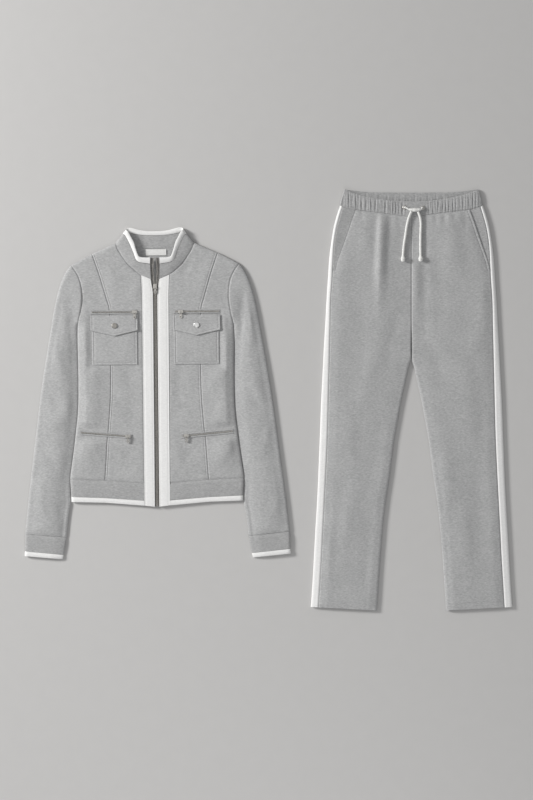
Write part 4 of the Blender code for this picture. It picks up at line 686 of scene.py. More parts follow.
for word, flip in halves.items():
    for layer, up in (("Top", 1), ("Under", -1)):
        relief = sleeveRelief(plan[..., 0], plan[..., 1], armAway, word) if up > 0 else np.clip(0.4 * wander(plan[..., 0], plan[..., 1], 60, 5.0) + 0.3, 0, 0.8)
        cuffAway = plan[..., 1] - plan[:1, :, 1]
        relief = relief * np.clip(cuffAway / 26 + 0.25, 0, 1)
        dips = groove(dIn, 0, 1.4, 1.0) * armRows + (groove(cuffAway, 0, 2.2, 0.8) + groove(dIn, 9.0, 0.9, 0.7) * seamLine if up > 0 else 0)
        outer, inner = layCloth(plan, up, armEdges, armHeight, tip=tip, relief=relief, groovesIn=dips * (up > 0))
        holdSeam(outer, inner, 0, slice(slitRows, None))
        clothShell(f"sleeve{layer}{word}", [f"sleeve_{layer.lower()}_{word.lower()}"], [(outer, inner)], looks["heather"], jacket, flip,
                   rests=["floor"] if up < 0 else [f"sleeveUnder{word}"])
print("sleeves made")

# jacket: bands, plackets and collar
hemAcross = (31.4, 126.8, 212.5)
hem = {"seam": {"y": (-7.1, 0.3, 3.7), "side_x": 212.5}, "band": {"y": (-49.4, -42.0, -38.6), "side_x": 210.1}, "binding": {"y": (-62.0, -53.8, -51.5), "side_x": 209.5}}
cuff = {"seam": {"inner": (222.6, -138.2), "outer": (323.8, -128.4)}, "band": {"inner": (229.9, -180.2), "outer": (324.9, -170.5)}, "binding": {"inner": (232.9, -191.1), "outer": (325.5, -182.5)}}
collarStations = [
    {"side": 1, "seam": (10.5, 492.3), "bind": (11.9, 527.6), "top": (11.4, 544.2)},
    {"side": 1, "seam": None, "bind": (31.9, 530.7), "top": (25.7, 544.3)},
    {"side": 1, "seam": None, "bind": (39.6, 532.6), "top": (32.5, 544.8)},
    {"side": 1, "seam": None, "bind": (46.4, 538.6), "top": (39.6, 548.2)},
    {"side": 1, "seam": None, "bind": (53.0, 556.5), "top": (45.5, 563.5)},
    {"side": 1, "seam": None, "bind": (61.0, 575.5), "top": (51.0, 582.0)},
    {"side": 1, "seam": None, "bind": (66.5, 587.0), "top": (56.5, 592.5)},
    {"side": 1, "seam": None, "bind": (72.6, 598.0), "top": (64.0, 606.5)},
    {"side": 0, "seam": (95.9, 581.4), "bind": (78.4, 602.7), "top": (70.5, 612.5)},
    {"side": -1, "seam": (94.0, 581.1), "bind": (73.4, 605.0), "top": (68.0, 616.2)},
    {"side": -1, "seam": (90.0, 579.2), "bind": (66.0, 605.4), "top": (61.0, 618.0)},
    {"side": -1, "seam": (72.0, 574.3), "bind": (56.0, 603.5), "top": (50.5, 616.0)},
    {"side": -1, "seam": (48.0, 570.0), "bind": (38.0, 600.3), "top": (34.0, 611.5)},
    {"side": -1, "seam": (24.0, 567.4), "bind": (19.0, 598.3), "top": (17.0, 609.3)},
    {"side": -1, "seam": (0.0, 566.5), "bind": (0.0, 597.8), "top": (0.0, 608.8)},
]
collarStand = {"seam": (0.0, 7.6), "bind": (0.6, 12.0), "top": (1.2, 15.0)}
zipParts = {"tape_outer": 14.0, "tape_wall": 1.0, "tape_z": 4.1, "teeth_width": 2.65, "teeth_top": 7.4, "rows": [{"y": -63.5, "gap": 0.15}, {"y": 196.0, "gap": 0.15}, {"y": 468.0, "gap": 0.15}, {"y": 484.0, "gap": 0.9}, {"y": 492.3, "gap": 2.0}, {"y": 510.0, "gap": 4.1}, {"y": 527.6, "gap": 3.4}, {"y": 543.5, "gap": 1.4}]}
bandForm = {"spacing": 3.4, "puff": 0.7, "bindingPuff": 1.1}


def ringGrid(lower, upper, rows, edges, height, wall, puff, dips=None):
    # a flat tube: the row of points over the top, back below; puffed by a half sine up the band
    share = np.linspace(0, 1, rows)[:, None, None]
    over = lower[None] + (upper - lower)[None] * share
    ring = np.hstack([over, over[:, -2:0:-1]])
    folds = [0, over.shape[1] - 1]
    up = np.ones(ring.shape[1])
    up[over.shape[1]:] = -1
    up[folds] = 0
    tip = np.zeros(ring.shape[:2], bool)
    tip[:, folds] = True
    swell = puff * np.sin(np.pi * np.linspace(0, 1, rows))[:, None] ** 0.6 * (up > 0) - 1.1 * np.clip(share[..., 0] * 8 - 7, 0, 1) * (up > 0)
    outer, inner = layCloth(ring, up, edges, height(ring), wall, tip, split=False, groovesIn=swell)
    return outer, inner


cuffWide = cuff["seam"]["outer"][0] - cuff["seam"]["inner"][0]
for word, flip in halves.items():
    for name, near, far, look, rows, puff in (
            ("cuff", "seam", "band", "heatherDeep", 14, bandForm["puff"]),
            ("cuffBinding", "band", "binding", "whiteKnit", 9, bandForm["bindingPuff"])):
        rowPair = []
        for key, gap in ((near, -seamGap), (far, 0)):
            ends = np.array([cuff[key]["inner"], cuff[key]["outer"]]) + (0, gap)
            steps = acrossSteps(np.array([cuffWide]), rollSteps, rollSteps, bandForm["spacing"])[0][:, None] / cuffWide
            rowPair.append(ends[0] + (ends[1] - ends[0]) * steps)
        outer, inner = ringGrid(rowPair[1], rowPair[0], rows, armEdges, lambda p: sleeveHeight(p, sleeveEdge), cloth["wall"], puff)
        node = {"cuff": "cuff_", "cuffBinding": "cuff_binding_"}[name] + word.lower()
        clothShell(name + word, [node], [(outer, inner)], looks[look], jacket, flip, loop=True, rests=["floor"])


def hemLine(key, gap=0.0):
    heights = np.array(hem[key]["y"]) + gap
    xs = np.array([hemAcross[0] + seamGap / 2, hemAcross[1], hem[key]["side_x"]])
    x = np.concatenate([np.linspace(xs[0], hem[key]["side_x"] - cloth["roll"], 48), hem[key]["side_x"] - rollSteps[::-1][1:]])
    return np.column_stack([x, np.interp(x, xs, heights)])


for name, node, near, far, look, rows, puff in (
        ("hemBand", "hem_band", "seam", "band", "heatherDeep", 14, 0.8),
        ("hemBinding", "hem_binding", "band", "binding", "whiteKnit", 9, 1.1)):
    pair = []
    for key, gap in ((far, 0.0), (near, -seamGap)):
        front = hemLine(key, gap)
        behind = front[-2::-1].copy()
        behind[-1, 0] = 0.0
        pair.append(np.vstack([front, behind]))
    share = np.linspace(0, 1, rows)[:, None, None]
    plan = pair[0][None] + (pair[1] - pair[0])[None] * share
    count = len(front)
    up = np.ones(plan.shape[1])
    up[count - 1] = 0
    up[count:] = -1
    tip = np.zeros(plan.shape[:2], bool)
    tip[:, count - 1] = True
    swell = (puff * np.sin(np.pi * share[..., 0]) ** 0.6 - 1.2 * np.clip(share[..., 0] * 8 - 7, 0, 1)) * (up > 0)
    outer, inner = layCloth(plan, up, bodyEdges, jacket["lay"], tip=tip, split=False, groovesIn=swell)
    outer = np.hstack([outer, (outer * (-1, 1, 1))[:, -2::-1]])
    inner = np.hstack([inner, (inner * (-1, 1, 1))[:, -2::-1]])
    clothShell(name, [node], [(outer, inner)], looks[look], jacket, rests=["floor"])

# Plackets: flat strips with a topstitched outer edge and a rounded edge beside the teeth
placketForm = {"rise": 0.5, "edge": 1.6, "stitch": 3.0, "rows": 220}
placketHigh = np.linspace(-61.6, 501.5, placketForm["rows"])
outLine = besideLine(atHeight(softCurve(placketOuter), placketHigh), seamGap / 2)
inHigh = np.interp(placketHigh, (-61.6, 380.0, 501.5), (-64.9, 377.0, 491.9))
inLine = atHeight(softCurve(placketInner), inHigh)
plan, dIn, dOut = panelPlan(inLine, outLine, np.array([0.0, 0.25, 0.7, 1.3, 2.2, 3.0, 3.8]), np.array([0.0, 0.4, 1.0, 2.0, 3.0, 4.0]), 3.0)
edge = placketForm["edge"]
top = jacket["lay"] + placketForm["rise"] + groove(dOut, 3.0, 0.6, 0.28) + groove(dIn, 3.0, 0.6, 0.25)
top = top - 0.9 * (1 - np.sqrt(1 - np.clip(1 - dIn / edge, 0, 1) ** 2)) + 0.12 * wander(plan[..., 0] * 2, plan[..., 1], 46, 0.7)
for word, flip in halves.items():
    clothShell(f"placket{word}", [f"placket_{word.lower()}"], [(np.dstack([plan, top]), np.dstack([plan, top - cloth["wall"]]))],
               looks["whiteKnit"], jacket, flip, rests=["jacketBack"])

# Collar: half a ring of stations; front stations lie above, back ones below, and it folds at the side
collarForm = {"columns": 15, "rows": 20, "bindingRows": 12, "puff": 1.5}
coarse = jacketLines(np.arange(15.0), [20.0, 9.0, 4.5, 1.2, 0.0])
neck = iter(besideLine(coarse["front"], seamGap)[neckRow:])
stationSeam = np.array([s["seam"] or next(neck) for s in collarStations])
stationBind = np.array([s["bind"] for s in collarStations])
stationTop = np.array([s["top"] for s in collarStations])
foldAt = [s["side"] for s in collarStations].index(0)
foldLine = np.array([stationSeam[foldAt], stationTop[foldAt]])


def stationCurve(stations):
    # each run of stations is smoothed by itself, because the collar folds sharply between them
    front, back = softCurve(stations[:foldAt + 1], collarForm["columns"]), softCurve(stations[foldAt:], collarForm["columns"])
    return np.vstack([front, back[1:]])


collarUp = np.concatenate([np.ones(foldAt * collarForm["columns"]), [0], -np.ones((len(collarStations) - 1 - foldAt) * collarForm["columns"])])
levelsOf = ("seam", "bind", "top")
curves = {"seam": stationCurve(stationSeam), "bind": stationCurve(stationBind), "top": stationCurve(stationTop)}
for name, node, look, first, last, low, rows in (("standCollar", "collar", "heatherDeep", "seam", "bind", 0.0, 20), ("collarBinding", "collar_binding", "whiteKnit", "bind", "top", 0.08, 12)):
    outers, inners = [], []
    for along in np.linspace(low, 1, rows):
        plan = (curves[first] + (curves[last] - curves[first]) * along)[None]
        place = levelsOf.index(first) + along
        bottom = np.interp(place, range(3), [collarStand[level][0] for level in levelsOf])
        high = np.interp(place, range(3), [collarStand[level][1] for level in levelsOf])
        outer, inner = layCloth(plan, collarUp, [(foldLine, 1)], high - bottom, tip=(collarUp == 0)[None], split=False)
        v = (along - low) / (1 - low)
        puff = collarForm["puff"] * math.sin(math.pi * v) ** 0.7 if name == "collarBinding" else 0.8 * math.sin(math.pi * v) - 0.7 * math.exp(-(v / 0.06) ** 2)
        outer[..., 2] += bottom + puff * (collarUp > 0) + (0.5 * puff * (collarUp < 0) if name == "collarBinding" else 0)
        inner[..., 2] += bottom + (puff * 0.4) * (collarUp > 0) + (puff * 0.9) * (collarUp < 0) * (name == "collarBinding")
        outers.append(outer)
        inners.append(inner)
    outer, inner = np.vstack(outers), np.vstack(inners)
    outer[..., 2], inner[..., 2] = np.maximum(outer[..., 2], 0), np.maximum(inner[..., 2], 0.3)
    outer = np.hstack([outer, (outer * (-1, 1, 1))[:, -2::-1]])
    inner = np.hstack([inner, (inner * (-1, 1, 1))[:, -2::-1]])
    clothShell(name, [node], [(outer, inner)], looks[look], jacket, rests=["jacketBack"])
print("bands and collar made")


# jacket: pockets, label and zips
def plateShell(name, node, plan, low, high, look, flip=1, wall=None, rests=(), sheetPiece=True):
    # a flat piece on the cloth: high is its upper side, low its lower side
    grids = [(np.dstack([plan, high]), np.dstack([plan, low]))]
    if sheetPiece:
        return clothShell(name, [node], grids, look, jacket, flip, rests=rests)
    piece = clothShell(name, [node], grids, look, jacket, flip)
    sheets.pop()
    return piece


patchSteps = np.array([0.0, 0.2, 0.6, 1.2, 2.4, 3.9, 4.7, 5.4, 7.0])
patchSize = {"inner": 44.6, "outer": 155.0, "low": 282.4, "high": 402.0}
flapForm = {"inner": 43.2, "outer": 158.6, "high": 403.0, "cornerY": 366.5, "pointX": 100.3, "pointY": 353.2, "lift": 2.4, "liftFrom": 386.0}
chestZip = {"inner": 45.5, "outer": 157.5, "low": 406.8, "high": 416.4}
onPanel, trimWall, flapWall = 7.9, 1.4, 1.6


def gridOf(xs, ys):
    x, y = np.meshgrid(xs, ys)
    return np.dstack([x, y])


def stepsBetween(low, high, near, far, spacing):
    return low + acrossSteps(np.array([high - low]), near, far, spacing)[0]


def borderFall(d, edge, deep):
    # a rounded border: deep * (1 - sqrt(1 - (1 - d / edge) ^ 2))
    return deep * (1 - np.sqrt(1 - np.clip(1 - d / edge, 0, 1) ** 2))


for word, flip in halves.items():
    tag = word.lower()
    xs = stepsBetween(patchSize["inner"], patchSize["outer"], patchSteps, patchSteps, 4)
    ys = stepsBetween(patchSize["low"], patchSize["high"], patchSteps, np.array([0.0, 2.0]), 4)
    plan = gridOf(xs, ys)
    side = np.minimum(plan[..., 0] - patchSize["inner"], patchSize["outer"] - plan[..., 0])
    d = np.minimum(side, plan[..., 1] - patchSize["low"])
    puff = 0.9 * np.clip(side / 22, 0, 1) ** 0.8 * np.clip((plan[..., 1] - patchSize["low"]) / 24, 0, 1) ** 0.8
    under = np.clip((372.0 - plan[..., 1]) / 16, 0, 1)
    high = onPanel + trimWall + 0.7 * (puff + 0.25 * wander(plan[..., 0] + flip * 9, plan[..., 1], 50, 2.0 + flip)) * under - borderFall(d, 1.3, 1.0) + groove(d, 4.7, 0.7, 0.42)
    plateShell(f"chestPatch{word}", f"chest_patch_{tag}", plan, np.full(d.shape, onPanel), high, looks["heather"], flip, rests=[f"frontCentre{word}", f"frontSide{word}"])

    # flap: its lower edge runs down to a point; the lower part bows away from the patch
    xs = stepsBetween(flapForm["inner"], flapForm["outer"], patchSteps, patchSteps, 3)
    xs = np.unique(np.append(xs, flapForm["pointX"]))
    edgeY = np.interp(xs, (flapForm["inner"], flapForm["pointX"], flapForm["outer"]), (flapForm["cornerY"], flapForm["pointY"], flapForm["cornerY"]))
    v = acrossSteps(np.array([1.0]), patchSteps / 44, np.array([0.0, 0.04, 0.09]), 0.07)[0]
    y = edgeY[None] + (flapForm["high"] - edgeY)[None] * v[:, None]
    plan = np.dstack([np.broadcast_to(xs, y.shape), y])
    d = np.minimum(np.minimum(plan[..., 0] - flapForm["inner"], flapForm["outer"] - plan[..., 0]), y - edgeY[None])
    span = flapForm["liftFrom"] - flapForm["pointY"]
    lift = flapForm["lift"] * (np.clip(flapForm["liftFrom"] - y, 0, None) / span) ** 2
    corner = 1.5 * np.clip((plan[..., 0] - 128) / 30, 0, 1) ** 2 * np.clip((395 - y) / 30, 0, 1) if flip > 0 else 0.9 * np.clip((70 - plan[..., 0]) / 26, 0, 1) ** 2 * np.clip((392 - y) / 26, 0, 1)
    seat = onPanel + trimWall + 0.3 + lift + corner
    high = seat + flapWall - borderFall(d, 1.3, 1.1) + groove(d, 4.7, 0.7, 0.45) + groove(flapForm["high"] - y, 3.0, 0.8, 0.4) + 0.25 * wander(plan[..., 0], y + flip * 20, 44, 3.0) * np.clip(d / 9, 0, 1)
    plateShell(f"chestFlap{word}", f"chest_flap_{tag}", plan, seat, high, looks["heather"], flip, rests=[f"chestPatch{word}"])

    # zip tape with the cloth's folded lips above and below it
    for name, node, plan, across in (
        ("chestZip", "chest_zip_", gridOf(stepsBetween(chestZip["inner"], chestZip["outer"], patchSteps / 4, patchSteps / 4, 4), np.linspace(chestZip["low"], chestZip["high"], 15)), None),
        ("sideZip", "side_zip_", None, None),
    ):
        if plan is None:
            start, end = np.array((60.0, 107.0)), np.array((187.0, 118.0))
            run = (end - start) / np.linalg.norm(end - start)
            upWay = np.array([-run[1], run[0]])
            u = stepsBetween(0.0, np.linalg.norm(end - start), patchSteps / 4, patchSteps / 4, 4)
            v = np.linspace(-5.6, 5.6, 15)
            plan = start + run * u[None, :, None] + upWay * v[:, None, None]
        rows = plan.shape[0]
        v = np.abs(np.linspace(-1, 1, rows))[:, None] * np.ones(plan.shape[1])
        lip = np.clip((v - 0.42) / 0.2, 0, 1)
        lip = lip * lip * (3 - 2 * lip)
        high = onPanel + 0.15 + 1.35 * lip - borderFall((1 - v) * 5.2, 1.2, 1.2)
        plateShell(name + word, node + tag, plan, np.full(plan.shape[:2], onPanel - 0.1), high, looks["heather"], flip, rests=[f"frontCentre{word}", f"frontSide{word}"])

labelForm = {"x": 2.8, "y": 557.2, "width": 50.0, "height": 15.4, "wall": 1.0}
xs = stepsBetween(labelForm["x"] - 25.0, labelForm["x"] + 25.0, patchSteps / 4, patchSteps / 4, 2.5)
ys = stepsBetween(labelForm["y"] - 7.7, labelForm["y"] + 7.7, patchSteps / 4, patchSteps / 4, 1.5)
plan = gridOf(xs, ys)
d = np.minimum(np.minimum(plan[..., 0] - xs[0], xs[-1] - plan[..., 0]), np.minimum(plan[..., 1] - ys[0], ys[-1] - plan[..., 1]))
high = 3.5 - borderFall(d, 0.8, 0.5) + groove(d, 1.6, 0.35, 0.18) + 0.1 * wander(plan[..., 0], plan[..., 1], 22, 1.0)
plateShell("neckLabel", "neck_label", plan, np.full(high.shape, 2.5), high, looks["labelRibbon"], rests=["jacketBack"])

zipRows = zipParts["rows"]
zipHigh = np.unique(np.concatenate([np.linspace(zipRows[0]["y"], zipRows[-1]["y"], 190), [r["y"] for r in zipRows]]))
zipGap = np.interp(zipHigh, [r["y"] for r in zipRows], [r["gap"] for r in zipRows])
zipLift = np.interp(zipHigh, [492.3, 527.6, 544.2], [0.0, 4.4, 7.4])
tapeIn = np.column_stack([zipGap + 0.8, zipHigh])
tapeOut = np.column_stack([np.full(len(zipHigh), zipParts["tape_outer"]), zipHigh])
plan, dIn, dOut = panelPlan(tapeIn, tapeOut, np.array([0.0, 0.3, 0.8]), np.array([0.0, 0.5]), 2.0)
tapeTop = zipParts["tape_z"] + 0.9 + zipLift[:, None] + 0.12 * np.cos(dIn * 2.2)
for word, flip in halves.items():
    clothShell(f"zipTape{word}", [f"zip_tape_{word.lower()}"], [(np.dstack([plan, tapeTop]), np.dstack([plan, tapeTop - 0.8]))],
               looks["zipTape"], jacket, flip, rests=[f"placket{word}"])


def toothPoints(wide, long, tall):
    # one tooth: a six-sided bar, wide across, that narrows to its nose; 12 points
    outline = np.array([(0.0, -0.5), (0.62, -0.5), (1.0, -0.3), (1.0, 0.3), (0.62, 0.5), (0.0, 0.5)])
    low = np.column_stack([outline[:, 0] * wide, outline[:, 1] * long, np.zeros(6)])
    high = np.column_stack([outline[:, 0] * wide * 0.94, outline[:, 1] * long * 0.72, np.full(6, tall)])
    return np.vstack([low, high])


toothFaces = [[5, 4, 3, 2, 1, 0], [6, 7, 8, 9, 10, 11]] + [[k, (k + 1) % 6, (k + 1) % 6 + 6, k + 6] for k in range(6)]


def teethAlong(name, nodes, route, widths, garment, look, pitch=2.3, long=1.45, tall=1.5, flip=1, body="garments"):
    # teeth at an even pitch down a route of (x, y, z), pointing across it to both sides by turns
    route, widths = np.array(route, float), np.array(widths, float)
    span = np.concatenate([[0], np.cumsum(np.linalg.norm(np.diff(route[:, :2], axis=0), axis=1))])
    at = np.arange(pitch / 2, span[-1], pitch)
    place = np.column_stack([np.interp(at, span, route[:, k]) for k in range(3)])
    run = np.gradient(place[:, :2], axis=0)
    run /= np.linalg.norm(run, axis=1)[:, None]
    side = np.column_stack([run[:, 1], -run[:, 0]])
    points, faces = [], []
    tooth = toothPoints(1.0, long, tall)
    for way, shift in widths:
        reach = tooth[None, :, :1] * way
        xy = place[:, None, :2] + side[:, None] * (reach + 0) + run[:, None] * (tooth[None, :, 1:2] + shift)
        z = place[:, None, 2:3] + np.broadcast_to(tooth[None, :, 2:3], (len(place), 12, 1))
        points.append(np.concatenate([xy, z], 2).reshape(-1, 3))
    points = np.vstack(points)
    count = len(points) // 12
    faces = (np.arange(count)[:, None, None] * 12)
    faceList = []
    for face in toothFaces:
        faceList.extend((np.arange(count)[:, None] * 12 + np.array(face)[None]).tolist())
    return finishPiece(name, toSet(points, garment, flip), faceList, look, nodes, body, sharp=30)


zipRoute = np.column_stack([zipGap, zipHigh, zipParts["tape_z"] + 1.0 + zipLift])
for word, flip in halves.items():
    shift = 0.0 if flip > 0 else 1.15
    teethAlong(f"zipTeeth{word}", [f"zip_teeth_{word.lower()}"], zipRoute + (0, 0, 0.2), [(2.9, shift)], jacket, looks["teethMetal"], tall=2.1, flip=flip)
    y = (chestZip["low"] + chestZip["high"]) / 2
    teethAlong(f"chestZipTeeth{word}", [], [(47.5, y, onPanel + 0.1), (155.5, y, onPanel + 0.1)], [(1.7, 0.0), (-1.7, 0.95)], jacket, looks["teethMetal"], pitch=1.9, long=1.2, tall=1.25, flip=flip)
    teethAlong(f"sideZipTeeth{word}", [], [(62.0, 107.2, onPanel + 0.1), (185.5, 117.9, onPanel + 0.1)], [(1.7, 0.0), (-1.7, 0.95)], jacket, looks["teethMetal"], pitch=1.9, long=1.2, tall=1.25, flip=flip)


def lathe(name, nodes, profile, centre, garment, look, flip=1, around=48, ring=False, body="garments"):
    # radius and height turned once about an upright line; a ring's profile closes on itself
    profile = np.array(profile, float)
    angle = np.linspace(0, 2 * np.pi, around, endpoint=False)
    points = np.dstack([profile[:, :1] * np.cos(angle), profile[:, :1] * np.sin(angle), np.broadcast_to(profile[:, 1:], (len(profile), around))])
    index = np.arange(len(profile) * around).reshape(len(profile), around)
    index = np.hstack([index, index[:, :1]])
    if ring:
        index = np.vstack([index, index[:1]])
    quads = np.stack([index[:-1, :-1], index[1:, :-1], index[1:, 1:], index[:-1, 1:]], -1).reshape(-1, 4).tolist()
    if not ring:
        quads += [index[0, :-1].tolist(), index[-1, :-1][::-1].tolist()]
    return finishPiece(name, toSet(points.reshape(-1, 3) + np.array(centre), garment, flip), quads, look, nodes, body, sharp=35)


button = {"x": 100.3, "y": 378.5, "radius": 6.8, "rise": 2.0, "seat": 11.8}
for word, flip in halves.items():
    r, h = button["radius"], button["rise"]
    profile = [(0.05, h * 0.92), (r * 0.55, h * 0.93), (r * 0.72, h * 0.99), (r * 0.80, h), (r * 0.90, h * 0.93), (r * 0.97, h * 0.7), (r, h * 0.4), (r * 0.97, 0.1), (r * 0.9, 0.0), (0.05, 0.0)]
    # the right button takes the nickel with a painted highlight, the left button the nickel with painted shade
    lathe(f"chestButton{word}", [f"chest_button_{word.lower()}"], profile, (button["x"], button["y"], button["seat"]), jacket,
          looks["brightNickel" if flip > 0 else "dullNickel"], flip)
print("pockets and zips made")

# trousers
trouserSide = [
    (163.5, 514.5), (169.7, 507.2), (173.3, 490.0), (174.6, 475.3), (181.3, 455.7), (189.3, 426.3),
    (194.4, 396.9), (198.7, 367.5), (201.8, 338.1), (204.3, 298.9), (207.8, 245.0), (211.1, 183.8),
    (214.6, 122.5), (218.1, 53.9), (221.4, -12.2), (223.6, -73.5), (226.0, -134.8), (228.5, -196.0),
    (231.5, -257.2), (235.2, -318.5), (238.5, -379.8), (241.9, -441.0), (245.2, -490.0), (246.5, -506.6),
    (247.0, -515.0),
]
stripeInner = [
    (168.7, 472.0), (178.2, 441.0), (185.2, 411.6), (189.9, 377.3), (192.1, 338.1), (194.2, 294.0),
    (197.5, 245.0), (198.8, 183.8), (200.3, 122.5), (201.8, 53.9), (203.4, -12.2), (204.9, -73.5),
    (207.3, -134.8), (210.3, -196.0), (213.4, -257.2), (216.6, -318.5), (219.6, -379.8), (223.3, -441.0),
    (226.4, -490.0), (227.6, -507.6),
]
inseamLine = [
    (1.2, 96.0), (5.0, 84.0), (7.4, 76.0), (12.9, 49.0), (23.9, 0.0), (33.1, -49.0), (41.7, -98.0),
    (47.8, -147.0), (54.5, -196.0), (61.9, -245.0), (68.0, -294.0), (72.3, -343.0), (76.3, -392.0),
    (79.7, -441.0), (82.7, -490.0), (84.5, -515.0), (84.9, -522.0),
]
trouserRows = [
    {"inner": 447.4, "stripe": 471.6, "side": 475.3, "mouth": (141.5, 464.9)},
    {"inner": 425.0, "stripe": 441.0, "side": 444.0, "mouth": (152.5, 434.9)},
    {"inner": 398.0, "stripe": 408.0, "side": 409.0, "mouth": (163.5, 401.8)},
    {"inner": 368.0, "stripe": 371.0, "side": 371.0, "mouth": (175.8, 367.5)},
    {"inner": 339.0, "stripe": 339.0, "side": 339.0, "mouth": (186.4, 338.0)},
    {"inner": 318.0, "stripe": 318.0, "side": 318.0, "mouth": (190.9, 318.0)},
    {"inner": 304.0, "stripe": 304.0, "side": 304.0, "mouth": None},
    {"inner": 262.0, "stripe": 262.0, "side": 262.0, "mouth": None},
    {"inner": 214.0, "stripe": 214.0, "side": 214.0, "mouth": None},
    {"inner": 164.0, "stripe": 164.0, "side": 164.0, "mouth": None},
    {"inner": 122.0, "stripe": 122.0, "side": 122.0, "mouth": None},
    {"inner": 97.0, "stripe": 97.0, "side": 97.0, "mouth": None},
    {"inner": 84.0, "stripe": 84.0, "side": 84.0, "mouth": None},
    {"inner": 56.0, "stripe": 56.0, "side": 56.0, "mouth": None},
    {"inner": 10.0, "stripe": 11.0, "side": 11.0, "mouth": None},
    {"inner": -49.0, "stripe": -47.0, "side": -47.0, "mouth": None},
    {"inner": -120.0, "stripe": -117.0, "side": -117.0, "mouth": None},
    {"inner": -196.0, "stripe": -192.0, "side": -192.0, "mouth": None},
    {"inner": -280.0, "stripe": -275.0, "side": -275.0, "mouth": None},
    {"inner": -360.0, "stripe": -354.0, "side": -354.0, "mouth": None},
    {"inner": -441.0, "stripe": -434.0, "side": -434.0, "mouth": None},
    {"inner": -515.0, "stripe": -507.6, "side": -506.6, "mouth": None},
]
waist = {"front_seam": [(0.0, 447.7), (141.5, 465.2), (168.7, 471.9), (174.6, 475.6)], "front_top": [(0.0, 485.2), (24.5, 485.6), (51.5, 487.6), (79.6, 491.2), (101.7, 495.5), (127.4, 501.6), (153.1, 510.8), (163.5, 514.5)], "back_seam": [(0.0, 471.9), (168.7, 471.9), (174.6, 475.6)], "back_top": [(0.0, 506.8), (27.0, 506.9), (96.0, 507.4), (125.0, 509.8), (147.0, 512.5), (163.5, 514.5)], "wall": 2.0, "front_gathers": 27, "back_gathers": 15, "rise": 0.9, "columns_each": 3}
cordRoutes = {"left": [(-1.0, 459.6), (-6.6, 445.9), (-11.5, 426.3), (-15.2, 401.8), (-18.9, 377.3), (-21.0, 352.8), (-21.3, 340.0)], "right": [(15.6, 459.6), (20.3, 446.8), (22.6, 430.2), (21.6, 401.8), (21.5, 372.4), (22.0, 349.0), (22.0, 340.5)]}
crotchRow, mouthCount = 11, 6
legForm = {"gape": 1.5, "gapeAt": 128.0, "spacing": 4.2, "crown": 2.4, "mouthLip": 1.1, "pocketDrop": 1.6, "hemStitch": (12.0, 15.5)}
